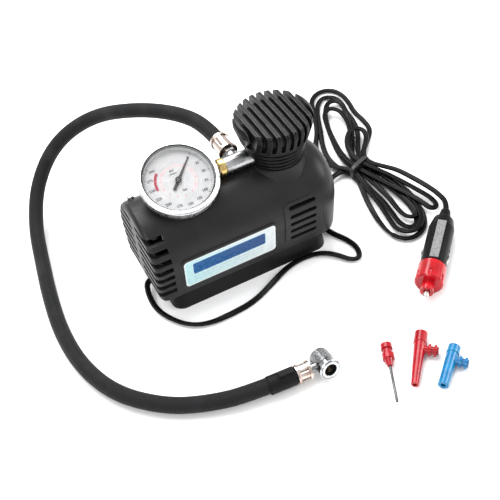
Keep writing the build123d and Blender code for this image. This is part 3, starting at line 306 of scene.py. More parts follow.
# each wave of the twist: how far in radians, how often in radians per metre, and where it starts
TWIST_WAVES = ((0.62, 31, 0.6), (0.34, 73, 2.1))
CORE_ARC, CORE_STEPS = 260, 8           # each conductor shows this much of its round
LEAD_ROUTE = [
    # from the grommet round the front of the base to the bundle
    (-57.456, 3, 8.7), (-73, 3, 8.7), (-77, -8.5, 5.6), (-77, -22, 2.6), (-72, -35.5, 2.3),
    (-62.5, -48.5, 2.3), (-49.5, -55, 2.3), (-32.5, -55.7, 2.3), (-12, -54, 2.3), (8, -45, 2.3),
    (25, -36.8, 2.3), (41, -34.6, 2.3), (54.5, -37, 2.3), (63.5, -45, 2.3), (70, -55.5, 2.3),
    (76.8, -57.6, 2.3), (81, -48.4, 2.3), (79, -36.5, 2.3), (71.5, -23, 2.3), (68.8, -7.5, 2.3),
    (74.5, 8, 2.3), (86.5, 19, 2.9), (99, 26.5, 3.8), (109, 30.5, 4.8), (117, 29.5, 5),
    # first turn, the widest: lower loop, then upper loop
    (121.5, 22.6, 5), (120.6, 14, 5), (117.4, 4, 4.4), (113.4, -12, 2.8), (110, -31, 2.3),
    (109.6, -46, 2.3), (113.6, -56.5, 2.3), (121, -61, 2.3), (129, -59.8, 2.3), (137.5, -55, 2.3),
    (144, -43.5, 2.3), (147, -29.5, 2.3), (148.6, -13, 2.3), (145, 2, 2.3), (140.5, 15, 2.3),
    (135.6, 27.7, 2.3), (137.4, 37, 2.3), (145.5, 46, 2.3), (156.5, 56.5, 2.3), (165.5, 66.5, 2.3),
    (167, 80, 2.3), (166.2, 95, 2.3), (169.5, 108, 2.3), (170.5, 123, 2.3), (165.5, 134, 2.3),
    (154.5, 137, 2.3), (142.5, 130, 2.3), (137, 116.5, 2.3), (131, 101.5, 2.3), (123.5, 86.5, 2.3),
    (113.5, 73, 2.3), (109.3, 57, 2.4), (110, 43, 4), (116, 32, 7),
    # second turn
    (121.5, 22.6, 7.7), (121.4, 12, 7.4), (119.8, 2, 6.4), (120.4, -14, 4.4), (118.6, -32, 2.6),
    (116.6, -46, 2.3), (120.6, -55.4, 4.4), (129.6, -57, 5), (137.6, -51, 5), (143, -39.5, 5),
    (145.4, -26, 5), (144.6, -11, 5), (141.6, 3, 5), (138.4, 16, 5), (135.6, 27.7, 5),
    (135.8, 37, 5), (140.4, 47.6, 4.4), (148.6, 59.6, 3), (155.4, 71.6, 2.4), (159.6, 86, 2.3),
    (160.6, 100, 2.3), (163.8, 111, 2.3), (163, 122, 2.3), (155, 128, 2.3), (145.6, 123, 2.3),
    (138, 111, 2.3), (132, 98, 2.4), (125.6, 83, 2.4), (119, 69.5, 2.4), (114.8, 55, 2.6),
    (114.8, 42, 2.6), (118, 32, 2.4),
    # third turn
    (121.5, 22.6, 2.3), (124.4, 12, 2.3), (124.4, 0, 2.3), (125.4, -16, 2.3), (123.6, -32, 2.3),
    (122.6, -42, 2.3), (125.6, -50.6, 2.3), (133, -51, 2.3), (138.4, -42, 2.3), (140.4, -30, 2.3),
    (140, -16, 2.3), (138.6, -3, 2.3), (135, 11, 2.3), (130.9, 26, 2.3), (130.6, 37, 2.4),
    (135, 48, 2.4), (143, 59.6, 2.4), (150, 72, 2.6), (154.4, 84, 3.6), (157.4, 95, 5),
    (161.6, 105, 5), (161, 114, 5), (153, 116.6, 5), (144.4, 108, 5), (137.6, 95, 5),
    (132.4, 81, 5), (128.4, 67, 4.6), (124.8, 53, 4.6), (123, 39, 4.8),
    # fourth turn
    (126.2, 24.3, 5), (129, 12, 5), (129.4, -2, 5), (130, -17, 5), (128.4, -30, 5),
    (129, -41, 5), (135, -45.4, 4.8), (140, -38, 4.8), (139.8, -26, 5), (138, -12, 5),
    (135.4, 3, 5), (133, 15, 5), (130.9, 26, 5), (129.8, 38, 5.4), (133.6, 50, 5.8),
    (141.6, 61, 6.4), (148.6, 73, 7), (152.6, 87, 7.4), (153, 99, 7.6), (146.6, 106, 7.6),
    (138.6, 100, 7.6), (133.6, 87, 7.6), (129.6, 73, 7.6), (126.6, 60, 7.4), (124.4, 48, 7.4),
    (124, 37, 7.6),
    # the narrow fold over the lower loops, the small hook and the end that goes to the plug
    (126.2, 24.3, 7.7), (130, 12, 7.8), (134.4, 0, 7.8), (139.4, -13, 7.8), (144.4, -26, 7.6),
    (148, -37, 6.6), (150.4, -45, 5.4), (156.6, -44.6, 5.4), (156.8, -35, 6.4), (153, -23.6, 7),
    (148.6, -11, 7.4), (143.6, 2, 8), (137, 14, 9.4), (130.9, 26, 10.2), (129, 38, 10.2),
    (131.6, 49.6, 10), (137.6, 60.4, 9.8), (146.4, 68, 9.8), (155, 64.6, 9.8), (153.4, 53, 9.8),
    (144.6, 43, 9.9), (138, 34.6, 10.2), (135.6, 27.7, 10.3), (138, 20, 10.2), (143.6, 13, 9.9),
    (150.6, 3.6, 9.8), (154.8, -8.5, 9.8), (158.6, -22.5, 10.3), (161.6, -37, 10.5),
    (160.964, -50.936, 10.5), (152.479, -59.421, 10.5),
]
TIE_PLACE = Vector((128.6, 25.2, 6.5))


def glossy_pvc():
    m = Mix("glossy_pvc")
    handled = m.noise(260, 3.0)
    rub = m.noise(38, 2.0)
    colour = m.tint(m.span(rub, 0.45, 0.75, 0.0, 1.0),
                    (0.0015, 0.0015, 0.0017), (0.0045, 0.0045, 0.005))
    return m.set(Base_Color=colour, Roughness=m.span(handled, 0.3, 0.7, 0.22, 0.4),
                 Specular_IOR_Level=0.12,
                 Normal=m.relief(m.noise(900, 2.0), 0.05))


def flex_rim(line, total):
    """Rings of the flex, two conductors side by side, twisting a little as it lies."""
    def rim(i, share, side, up):
        far = (line[i] / MM - TIE_PLACE).length
        along = total * share
        loose = RUN_TWIST if along < LEAD_RUN else BUNDLE_TWIST
        loose *= min(1.0, max(0.0, (far - WAIST_HOLD) / WAIST_EASE))
        loose *= min(1.0, (1 - share) * END_EASE)
        lean = loose * sum(much * math.sin(along * often + start)
                           for much, often, start in TWIST_WAVES)
        wide, tall = (side * math.cos(lean) + up * math.sin(lean),
                      up * math.cos(lean) - side * math.sin(lean))
        ring = []
        for core, middle in ((1, 0), (-1, 180)):
            for k in range(CORE_STEPS + 1):
                t = math.radians(middle - CORE_ARC / 2 + CORE_ARC * k / CORE_STEPS)
                ring.append((wide * (core * LEAD_APART + LEAD_CORE * math.cos(t))
                             + tall * (LEAD_CORE * math.sin(t))) * MM)
        return ring
    return rim


lead_line, lead_long = paced(laid_line(LEAD_ROUTE, "lead_line"), LEAD_STEP * MM)
lead = sleeve_on("twin_flex", lead_line, lead_long,
                 flex_rim(lead_line, lead_long), glossy_pvc())
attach(lead, "inflator")
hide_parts("lead_front", "lead_hank", "lead_tail")

# ---- Lead tie
# A strip of soft black plastic with a wire in it, bent round the bundle and
# closed with two turns of its ends, which stick out beside the waist.
TIE_HEADING = math.radians(110)
TIE_WIDE, TIE_THICK = 3.6, 0.6
TIE_HALF = (10.9, 6.0)  # half the waist across and up, to the middle of the strip
TIE_BLUNT = (0.45, 0.6) # the waist is squarer than an oval: the power of each share
TIE_LEAN = 0.7          # how far the strip wanders along the bundle
TIE_STEPS = 64
# the strip's section, as shares of its width and thickness, with a rib over the wire
TIE_SECTION = ((-0.5, -0.5), (0.5, -0.5), (0.5, 0.3), (0.16, 0.5), (-0.16, 0.5), (-0.5, 0.3))
# the twisted ends: from and by how far, across, up and along the bundle
TWIST_FROM, TWIST_BY = (-11.0, -2.0, -1.5), (-2.0, -2.0, -9.0)
TWIST_TURNS, TWIST_STEPS, TWIST_SIDES = 2, 24, 6
TWIST_APART, TWIST_CLOSER = 0.9, 0.2    # each end from their middle, less this at the tips
TWIST_ROUND = 0.62


def tie_strip():
    """The strip round the waist, and its two ends twisted round each other."""
    ahead = Vector((math.cos(TIE_HEADING), math.sin(TIE_HEADING), 0))
    across, up = Vector((ahead.y, -ahead.x, 0)), Vector((0, 0, 1))
    verts, faces, sides = [], [], len(TIE_SECTION)
    for i in range(TIE_STEPS):
        t = 2 * math.pi * i / TIE_STEPS
        c, s = math.cos(t), math.sin(t)
        p = (across * (math.copysign(abs(c) ** TIE_BLUNT[0], c) * TIE_HALF[0])
             + up * (math.copysign(abs(s) ** TIE_BLUNT[1], s) * TIE_HALF[1]))
        out = (across * c + up * s).normalized()
        lean = TIE_LEAN * math.sin(t + 0.5)
        for wide, thick in TIE_SECTION:
            verts.append((TIE_PLACE + p + ahead * (wide * TIE_WIDE + lean)
                          + out * (thick * TIE_THICK)) * MM)
    for i in range(TIE_STEPS):
        j = (i + 1) % TIE_STEPS
        for k in range(sides):
            n = (k + 1) % sides
            faces.append((i * sides + k, i * sides + n, j * sides + n, j * sides + k))
    sides = TWIST_SIDES
    for start in (0, math.pi):
        at = len(verts)
        for i in range(TWIST_STEPS + 1):
            share = i / TWIST_STEPS
            place = TIE_PLACE.copy()
            for way, first, by in zip((across, up, ahead), TWIST_FROM, TWIST_BY):
                place += way * (first + by * share)
            turn = start + share * TWIST_TURNS * 2 * math.pi
            place += (across * math.cos(turn) + up * math.sin(turn)) * (
                TWIST_APART - TWIST_CLOSER * share)
            for k in range(sides):
                t = 2 * math.pi * k / sides
                verts.append((place + (across * math.cos(t) + up * math.sin(t))
                              * TWIST_ROUND) * MM)
        for i in range(TWIST_STEPS):
            for k in range(sides):
                n = (k + 1) % sides
                a = at + i * sides
                faces.append((a + k, a + n, a + sides + n, a + sides + k))
        last = at + TWIST_STEPS * sides
        faces += [tuple(range(at, at + sides)), tuple(range(last, last + sides))]
    tie = mesh_piece("bundle_tie", verts, faces, tie_plastic())
    shape = bmesh.new()
    shape.from_mesh(tie.data)
    bmesh.ops.recalc_face_normals(shape, faces=shape.faces)
    shape.to_mesh(tie.data)
    return tie


def tie_plastic():
    m = Mix("tie_plastic")
    return m.set(Base_Color=m.tint(m.noise(500), (0.006, 0.006, 0.006), (0.02, 0.02, 0.021)),
                 Roughness=m.span(m.noise(900), 0.3, 0.7, 0.3, 0.5),
                 Normal=m.relief(m.noise(2500, 2.0), 0.06))


tie = tie_strip()
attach(tie, "inflator")
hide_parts("twist_tie")

# ---- Housing and base
# Two half shells of black ABS with a fine spark-eroded grain, screwed together
# along the middle, on a base of the same plastic.  Their edges are rubbed a
# little paler where the inflator is gripped and set down.
def finish_on(material, *names):
    """Gives some of the frame's own pieces this material."""
    for name in names:
        nodes[name].material_slots[0].material = material


def moulded(name, dark, light, rough, grain=2600, depth=0.03, edge=0.5,
            worn=(0.05, 0.05, 0.052), wear=0.5, **more):
    """Moulded plastic or rubber: a fine grain, a patchy sheen, and rounded edges rubbed paler."""
    m = Mix(name)
    rounded = m.soft_edge(edge)
    speck = m.noise(grain, 2.0)
    colour = m.tint(m.span(m.noise(45), 0.35, 0.68, 0.0, 1.0), dark, light)
    rub = m.sum("MULTIPLY", m.edge_share(rounded), m.span(m.noise(190, 4.0), 0.35, 0.7, 0.0, wear))
    return m.set(Base_Color=m.tint(rub, colour, worn),
                 Roughness=m.span(speck, 0.3, 0.7, rough - 0.06, rough + 0.08),
                 Normal=m.relief(speck, depth, rounded), **more)


finish_on(moulded("black_abs", (0.0062, 0.0062, 0.0066), (0.0105, 0.0105, 0.011), 0.40,
                  depth=0.035, edge=0.6, Specular_IOR_Level=0.3), "front_shell", "rear_shell")
finish_on(moulded("base_abs", (0.0025, 0.0025, 0.0028), (0.005, 0.005, 0.0054), 0.46,
                  depth=0.035, edge=0.7, Specular_IOR_Level=0.2), "base_plinth")

# ---- Housing screws
# Zinc-plated pan-head screws: four through the shells, four up through the
# base into the shells, and three that hold the cylinder head.
def plated(name, dark, light, rough, grain=1400, depth=0.01, edge=0.2, **more):
    """Bare or plated metal: faint smears in colour and gloss, edges with a small radius."""
    m = Mix(name)
    smear = m.noise(130)
    return m.set(Base_Color=m.tint(m.span(smear, 0.35, 0.65, 0.0, 1.0), dark, light),
                 Metallic=1.0,
                 Roughness=m.span(m.noise(420, 4.0), 0.3, 0.7, rough * 0.65, rough * 1.45),
                 Normal=m.relief(m.noise(grain, 2.0), depth, m.soft_edge(edge)), **more)


finish_on(plated("zinc_plate", (0.5, 0.51, 0.53), (0.68, 0.69, 0.7), 0.3),
          "shell_screws", "base_screws", "head_screws")

# ---- Maker's label
# A printed polyester label, 0.4 mm thick, stuck on the flat front: a pale
# sky-blue field with a white edge, a plain blue bar and two thin grey rules,
# and round its rim a dark line of painted shadow.
LABEL_MIDDLE = Vector((-17, -33.31, 35.8))
LABEL_UP = Vector((0, 0.1045, 0.9945))  # the front leans back by 6 degrees
# half sizes and corner radii, from the outside in: where the dark painted shadow round the label's
# rim ends, then what is printed
LABEL_EDGE_SHADOW = ((36.35, 13.35), 2.8)
LABEL_FIELD = ((35.6, 12.6), 2.4)
BAR_EDGE = ((29.6, 6.5), 1.8)
BAR = ((28.8, 5.8), 1.3)
BAR_AT = (-0.8, 3.6)    # the bar's middle from the label's
RULES_AT = -2.0
RULE_LONG = 28          # half the length of a rule
RULES = ((-5.3, 0.5), (-8.2, 0.4))      # each rule's height on the label, half its width


ALONG_X = (1, 0, 0)


def reach(m, middle, axis):
    """How far a point of the surface lies from a middle, along an axis, in millimetres."""
    off = m.node("VectorMath", operation="SUBTRACT")
    m.put(off.inputs[0], m.place)
    m.put(off.inputs[1], tuple(Vector(middle) * MM))
    along = m.node("VectorMath", operation="DOT_PRODUCT")
    m.put(along.inputs[0], off.outputs[0])
    m.put(along.inputs[1], tuple(Vector(axis) * 1000))
    return along.outputs["Value"]


def off_axis(m, middle, up):
    """How far a point lies from a middle to the right, to the top, and in all."""
    x, y = reach(m, middle, ALONG_X), reach(m, middle, up)
    far = m.sum("SQRT", m.sum("ADD", m.sum("POWER", x, 2.0), m.sum("POWER", y, 2.0)))
    return x, y, far


def inside(m, x, y, half, corner, soft=0.12):
    """1 inside a rounded rectangle and 0 outside it."""
    over = [m.sum("MAXIMUM", m.sum("SUBTRACT", m.sum("ABSOLUTE", v), h - corner), 0.0)
            for v, h in zip((x, y), half)]
    out = m.sum("SQRT", m.sum("ADD", m.sum("POWER", over[0], 2.0), m.sum("POWER", over[1], 2.0)))
    return m.span(out, corner - soft, corner + soft, 1.0, 0.0)


def printed_label():
    m = Mix("printed_label")
    x, y = reach(m, LABEL_MIDDLE, ALONG_X), reach(m, LABEL_MIDDLE, LABEL_UP)
    field = m.tint(m.span(x, -34, 30, 0.0, 1.0), (0.40, 0.66, 0.68), (0.62, 0.67, 0.68))
    field = m.tint(m.span(m.noise(900), 0.35, 0.7, 0.0, 0.3), field, (0.62, 0.70, 0.72))
    for low, high in RULES:
        rule = inside(m, m.sum("SUBTRACT", x, RULES_AT), m.sum("SUBTRACT", y, low),
                      (RULE_LONG, high), 0.35, 0.3)
        field = m.tint(m.sum("MULTIPLY", rule, 0.45), field, (0.30, 0.42, 0.46))
    colour = m.tint(inside(m, x, y, *LABEL_FIELD), (0.78, 0.81, 0.81), field)
    bar_x, bar_y = m.sum("SUBTRACT", x, BAR_AT[0]), m.sum("SUBTRACT", y, BAR_AT[1])
    colour = m.tint(inside(m, bar_x, bar_y, *BAR_EDGE), colour, (0.50, 0.66, 0.74))
    blue = m.tint(m.span(x, -28, 26, 0.0, 1.0), (0.001, 0.085, 0.25), (0.001, 0.045, 0.17))
    colour = m.tint(inside(m, bar_x, bar_y, *BAR), colour, blue)
    # painted shadow: outside this rounded rectangle the label's rim is made near black, as the
    # shadow at its edge
    colour = m.tint(inside(m, x, y, *LABEL_EDGE_SHADOW, 0.18), (0.02, 0.03, 0.035), colour)
    return m.set(Base_Color=colour, Roughness=m.span(m.noise(300), 0.3, 0.7, 0.2, 0.34),
                 Specular_IOR_Level=0.3, Normal=m.relief(m.noise(70), 0.05))


finish_on(printed_label(), "label_plate")

# ---- Cylinder cap and neck
# The cylinder sticks up through the housing under five cooling rings and a
# round cap with ten deep ribs, cast in black, with painted highlights in grey
# on the up-facing rib tops and along the rib edges.
CAP_TOP = 119.0
RIB_FROM, RIB_TO = 2.6, 0.9     # the rib tops begin and are whole this far under it


def casting_painted_highlights():
    """Black casting with painted highlights: paler on the up-facing rib tops and grey along the
    rib edges.
    """
    m = Mix("casting_painted_highlights")
    rounded = m.soft_edge(0.7)
    grit = m.noise(1500, 3.0)
    # painted highlight: near the top of the cap, surfaces that face up are made paler
    high = m.span(reach(m, (0, 0, 0), (0, 0, 1)), CAP_TOP - RIB_FROM, CAP_TOP - RIB_TO,
                  0.0, 1.0)
    facing = m.node("SeparateXYZ")
    m.put(facing.inputs[0], m.node("NewGeometry").outputs["Normal"])
    top = m.sum("MULTIPLY", high, m.span(facing.outputs[2], 0.75, 0.95, 0.0, 1.0))
    top = m.sum("MULTIPLY", top, m.span(m.noise(160, 4.0), 0.25, 0.65, 0.55, 1.0))
    base = m.tint(m.span(grit, 0.3, 0.7, 0.0, 1.0),
                  (0.003, 0.003, 0.0032), (0.008, 0.008, 0.0085))
    # painted highlight: thin grey lines along the rib edges, stronger near the top, broken up by
    # noise
    edge = m.sum("MULTIPLY", m.edge_share(rounded, 0.9, 0.998),
                 m.span(m.noise(240, 4.0), 0.3, 0.6, 0.3, 1.0))
    edge = m.sum("MULTIPLY", edge, m.span(high, 0.0, 1.0, 0.35, 1.0))
    colour = m.tint(edge, m.tint(top, base, (0.015, 0.015, 0.0155)), (0.2, 0.2, 0.203))
    return m.set(Base_Color=colour,
                 Roughness=m.span(grit, 0.3, 0.7, 0.3, 0.46), Specular_IOR_Level=0.14,
                 Normal=m.relief(grit, 0.05, rounded))


finish_on(casting_painted_highlights(), "fin_cap")
finish_on(moulded("black_rings", (0.003, 0.003, 0.0032), (0.008, 0.008, 0.0085), 0.34,
                  grain=1500, depth=0.04, edge=0.6, wear=0.7, Specular_IOR_Level=0.14),
          "neck_rings")

# ---- Outlet pipe
# Chromed pipe out of the cylinder, with a brass lock ring at the gauge and a
# hexagonal tee that the hose is crimped on.
CRIMP_FLATS = 6
INLET_MIDDLE, INLET_AHEAD = (9.5, 12, 88.4), (0, 1, 0)
INLET_BAND = (2.5, 12.5)        # where the ferrule is pressed, along it


def crimped(name, middle, ahead, flats, dark, light, bands):
    """A sheet-metal ferrule, pressed in flats round the hose, with painted shade in the hollows.
    """
    m = Mix(name)
    ahead = Vector(ahead).normalized()
    side = ahead.cross(Vector((0, 0, 1))).normalized()
    turn = m.sum("ARCTAN2", reach(m, middle, side.cross(ahead)), reach(m, middle, side))
    wave = m.sum("ABSOLUTE", m.sum("SINE", m.sum("MULTIPLY", turn, flats / 2)))
    along = reach(m, middle, ahead)
    pressed = m.sum("MULTIPLY", m.span(along, bands[0], bands[0] + 0.5, 0.0, 1.0),
                    m.span(along, bands[1] - 0.5, bands[1], 1.0, 0.0))
    groove = m.sum("MULTIPLY", pressed, m.span(wave, 0.12, 0.55, 1.0, 0.0))
    colour = m.tint(m.span(m.noise(150), 0.35, 0.65, 0.0, 1.0), dark, light)
    # painted shade: the hollows between the pressed flats are darkened
    colour = m.tint(m.sum("MULTIPLY", groove, 0.85), colour, (0.03, 0.022, 0.02))
    flat = m.sum("MULTIPLY", pressed, m.sum("SUBTRACT", 1.0, groove))
    return m.set(Base_Color=colour, Metallic=1.0,
                 Roughness=m.span(m.noise(500), 0.3, 0.7, 0.12, 0.28),
                 Normal=m.relief(flat, 0.9, m.soft_edge(0.4)))


finish_on(plated("bright_chrome", (0.3, 0.303, 0.307), (0.62, 0.63, 0.64), 0.24, edge=0.35),
          "outlet_manifold")
finish_on(plated("yellow_brass", (0.62, 0.41, 0.13), (0.86, 0.66, 0.30), 0.2, edge=0.3),
          "brass_collar", "pinion", "chuck_pin")
finish_on(plated("dark_barb", (0.07, 0.068, 0.065), (0.2, 0.195, 0.19), 0.25, edge=0.3),
          "hose_barb", "chuck_plug")
finish_on(crimped("inlet_crimp", INLET_MIDDLE, INLET_AHEAD, CRIMP_FLATS, (0.62, 0.47, 0.41),
                  (0.93, 0.83, 0.77), INLET_BAND), "inlet_ferrule")

# ---- Pressure gauge
# A round gauge in a bright steel case: printed card dial, a black pointer on
# a 270 degree scale, and a clear window held by the rolled bezel.
DIAL_MIDDLE = Vector((-34.6, -1.0, 96.2))
DIAL_LEAN = math.radians(22)
DIAL_OUT = Vector((0, -math.sin(DIAL_LEAN), math.cos(DIAL_LEAN)))
DIAL_UP = Vector((0, math.cos(DIAL_LEAN), math.sin(DIAL_LEAN)))
DIAL_FRAME = Matrix.Translation(DIAL_MIDDLE * MM) @ Matrix(
    ((1, 0, 0), DIAL_UP, DIAL_OUT)).transposed().to_4x4()
DIAL_FACE = -6.0        # the dial's face, from the bezel's front edge
DIAL_ZERO, DIAL_SWEEP = 45.0, 270.0     # where the scale starts, and how far it runs
INK_RISE = 0.03         # the middle of a printed mark, over the dial's face
INK_THICK = 0.05
# each row of marks: how many, how far out, and how long and wide each one is
LONG_MARKS = (13, 23.1, 1.8, 0.42)
SHORT_MARKS = (61, 23.5, 1.1, 0.2)
# each row of numbers: its steps, the number per step, and how tall and far out it is
OUTER_NUMBERS = (12, 25, 2.9, 19.6)
INNER_NUMBERS = (10, 2, 1.5, 12.3)
# what is printed on the card: near and far radius, first and last angle
THIN_ARC = (14.2, 14.5, 225, -45)
PALE_ARC = (11.2, 13.2, 200, -60)
RED_ARC = (15.0, 17.0, 135, 185)
WINDOW_RIM = (24.3, 24.45)      # outside this the white distance ring shows
WINDOW_BACK = (-2.1, -1.95)


class Grow(Wiring):
    """A short hand for wiring one tree of nodes that repeats a small shape."""

    def __init__(self, name, **sizes):
        self.name, self.sizes = name, sizes
        self.tree = bpy.data.node_groups.new(name, "GeometryNodeTree")
        for key, value in sizes.items():
            kind = "NodeSocketInt" if isinstance(value, int) else "NodeSocketFloat"
            self.tree.interface.new_socket(key, in_out="INPUT", socket_type=kind)
        self.tree.interface.new_socket("Mesh", in_out="OUTPUT",
                                       socket_type="NodeSocketGeometry")
        self.size = self.tree.nodes.new("NodeGroupInput").outputs

    def node(self, kind, **ins):
        made = self.tree.nodes.new(kind)
        for key, value in ins.items():
            self.put(made.inputs[key.replace("_", " ")], value)
        return made.outputs[0]

    def grown(self, places, turns, item, count, material):
        """One item at each place, all made real and painted, as a plain mesh."""
        row = self.node("GeometryNodeMeshLine", Count=count)
        row = self.node("GeometryNodeSetPosition", Geometry=row, Position=places)
        shape = self.node("GeometryNodeInstanceOnPoints", Points=row, Instance=item,
                          Rotation=turns)
        shape = self.node("GeometryNodeRealizeInstances", Geometry=shape)
        shape = self.node("GeometryNodeSetMaterial", Geometry=shape, Material=material)
        leave = self.tree.nodes.new("NodeGroupOutput")
        self.put(leave.inputs[0], shape)
        holder = bpy.data.objects.new(self.name, bpy.data.meshes.new(self.name))
        grower = holder.modifiers.new("grow", "NODES")
        grower.node_group = self.tree
        for socket in self.tree.interface.items_tree:
            if socket.in_out == "INPUT":
                grower[socket.identifier] = self.sizes[socket.name]
        return made_real(holder)


def placed(name, mesh, frame_of_it, material):
    """A piece from a finished mesh, moved into its place."""
    mesh.transform(frame_of_it)
    mesh.materials.clear()
    mesh.materials.append(material)
    piece = bpy.data.objects.new(name, mesh)
    bpy.context.scene.collection.objects.link(piece)
    return piece


def scale_marks(name, count, far, long, wide, ink):
    """A row of thin bars round the dial, each pointing to its middle."""
    g = Grow(name, Count=count, Far=far * MM, Long=long * MM, Wide=wide * MM,
             Zero=math.radians(DIAL_ZERO), Sweep=math.radians(DIAL_SWEEP))
    share = g.sum("DIVIDE", g.node("GeometryNodeInputIndex"),
                  g.sum("SUBTRACT", g.size["Count"], 1.0))
    turn = g.sum("SUBTRACT", g.size["Zero"], g.sum("MULTIPLY", share, g.size["Sweep"]))
    places = g.node("ShaderNodeCombineXYZ",
                    X=g.sum("MULTIPLY", g.size["Far"], g.sum("COSINE", turn)),
                    Y=g.sum("MULTIPLY", g.size["Far"], g.sum("SINE", turn)),
                    Z=(DIAL_FACE + INK_RISE) * MM)
    bar = g.node("ShaderNodeCombineXYZ", X=g.size["Long"], Y=g.size["Wide"], Z=INK_THICK * MM)
    mesh = g.grown(places, g.node("ShaderNodeCombineXYZ", Z=turn),
                   g.node("GeometryNodeMeshCube", Size=bar), g.size["Count"], ink)
    piece = placed(name, mesh, DIAL_FRAME, ink)
    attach(piece, "inflator")


def dial_words(name, words, bold, ink):
    """Words as one flat mesh.  Each is (text, height, x, y), in mm on the dial."""
    verts, faces = [], []
    for text, tall, x, y in words:
        font = bpy.data.curves.new(name, "FONT")
        font.body, font.size = text, tall * MM
        font.align_x = font.align_y = "CENTER"
        font.extrude, font.resolution_u, font.offset = 0.02 * MM, 3, bold * MM
        mesh = made_real(bpy.data.objects.new(name, font))
        at = len(verts)
        verts += [v.co + Vector((x, y, DIAL_FACE + 0.04)) * MM for v in mesh.vertices]
        faces += [tuple(at + i for i in p.vertices) for p in mesh.polygons]
    piece = mesh_piece(name, verts, faces, ink, False)
    piece.data.transform(DIAL_FRAME)
    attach(piece, "inflator")


def dial_numbers(steps, per_step, tall, far):
    """The words of one row of numbers, evenly spaced along the scale."""
    words = []
    for step in range(steps + 1):
        turn = math.radians(DIAL_ZERO - DIAL_SWEEP * step / steps)
        words.append((str(per_step * step), tall, far * math.cos(turn), far * math.sin(turn)))
    return words


def printing_ink(name, dark, light):
    m = Mix(name)
    return m.set(Base_Color=m.tint(m.noise(2200), dark, light),
                 Normal=m.relief(m.noise(5000), 0.01),
                 Roughness=m.span(m.noise(2600), 0.3, 0.7, 0.45, 0.65))


def printed_dial():
    """White card with a thin circle, a pale red band and a short dark red one."""
    m = Mix("printed_dial")
    far = off_axis(m, DIAL_MIDDLE, DIAL_UP)[2]

    def arc(near, out, first, last):
        middle = math.radians((first + last) / 2)
        half = math.radians(abs(last - first) / 2)
        u = reach(m, DIAL_MIDDLE, Vector((math.cos(middle), 0, 0)) + DIAL_UP * math.sin(middle))
        v = reach(m, DIAL_MIDDLE, Vector((-math.sin(middle), 0, 0)) + DIAL_UP * math.cos(middle))
        turn = m.sum("ABSOLUTE", m.sum("ARCTAN2", v, u))
        ring = m.sum("MULTIPLY", m.span(far, near - 0.1, near + 0.1, 0.0, 1.0),
                     m.span(far, out - 0.1, out + 0.1, 1.0, 0.0))
        return m.sum("MULTIPLY", ring, m.span(turn, half - 0.01, half + 0.01, 1.0, 0.0))

    card = m.tint(m.span(m.noise(120), 0.35, 0.65, 0.0, 1.0),
                  (0.40, 0.402, 0.408), (0.47, 0.472, 0.478))
    card = m.tint(m.sum("MULTIPLY", arc(*THIN_ARC), 0.5), card, (0.25, 0.10, 0.12))
    pale = m.sum("MULTIPLY", arc(*PALE_ARC), m.span(m.noise(1300), 0.4, 0.6, 0.0, 0.45))
    card = m.tint(pale, card, (0.75, 0.33, 0.36))
    card = m.tint(arc(*RED_ARC), card, (0.28, 0.012, 0.04))
    return m.set(Base_Color=card, Roughness=m.span(m.noise(800), 0.3, 0.7, 0.38, 0.55),
                 Normal=m.relief(m.noise(2400), 0.01, m.soft_edge(0.2)))


def clear_window():
    """A clear disc, and the white distance ring behind its rim."""
    m = Mix("clear_window")
    far = off_axis(m, DIAL_MIDDLE, DIAL_UP)[2]
    ring = m.sum("MULTIPLY", m.span(far, *WINDOW_RIM, 0.0, 1.0),
                 m.span(reach(m, DIAL_MIDDLE, DIAL_OUT), *WINDOW_BACK, 1.0, 0.0))
    glass = m.tint(m.noise(60), (0.02, 0.022, 0.022), (0.05, 0.052, 0.053))
    white = m.tint(m.noise(300), (0.5, 0.505, 0.51), (0.62, 0.625, 0.63))
    return m.set(Base_Color=m.tint(ring, glass, white),
                 Alpha=m.span(ring, 0.0, 1.0, 0.03, 1.0),
                 Roughness=m.span(m.noise(200), 0.3, 0.7, 0.02, 0.08),
                 Normal=m.relief(m.noise(40), 0.02))


finish_on(printed_dial(), "gauge_dial")
finish_on(clear_window(), "gauge_lens")
finish_on(plated("satin_bezel", (0.60, 0.61, 0.62), (0.78, 0.79, 0.80), 0.28, edge=0.5),
          "gauge_bezel")
finish_on(plated("steel_case", (0.2, 0.202, 0.205), (0.4, 0.405, 0.41), 0.34, edge=0.4),
          "gauge_case")
finish_on(moulded("pointer_black", (0.004, 0.004, 0.004), (0.01, 0.01, 0.01), 0.4, edge=0.1),
          "gauge_needle")
black_ink = printing_ink("black_ink", (0.008, 0.008, 0.009), (0.03, 0.03, 0.032))
red_ink = printing_ink("red_ink", (0.45, 0.05, 0.07), (0.6, 0.1, 0.12))
scale_marks("scale_marks_long", *LONG_MARKS, black_ink)
scale_marks("scale_marks_short", *SHORT_MARKS, black_ink)
dial_words("scale_numbers", dial_numbers(*OUTER_NUMBERS), 0.08, black_ink)
dial_words("unit_names", [("psi", 3.0, -1.0, 9.4), ("pressure", 1.5, -1.0, 6.6),
                          ("bar", 2.6, 1.5, -8.0)], 0.06, black_ink)
dial_words("inner_numbers", dial_numbers(*INNER_NUMBERS), 0.02, red_ink)

# ---- Hose end and chuck
# A rubber sleeve and a crimped ferrule hold the hose on a screw-on valve
# chuck, with a knurled grip, a turning nut, a rubber seal and a brass pin.
CHUCK_MIDDLE = Vector((1.8, -133.9, 9.6))
CHUCK_AHEAD = Vector((0, -0.9703, 0.2419))
NUT_FACE = (6.0, 6.5)           # where the nut's front begins, along the chuck
NUT_GROOVE = (6.75, 0.15, 0.35) # the groove's radius, and half its width at floor and lip
# the knurl: rings, points in a ring, radius, first ring, pitch, and each point's size
KNURL = (11, 40, 7.02, -9.2, 0.82, 0.56, 0.34)
END_MIDDLE, END_AHEAD = (-19.668, -130.469, 8.971), (0.99756, -0.06983, 0)
END_BAND = (1.5, 8.5)           # where the ferrule on the hose's end is pressed


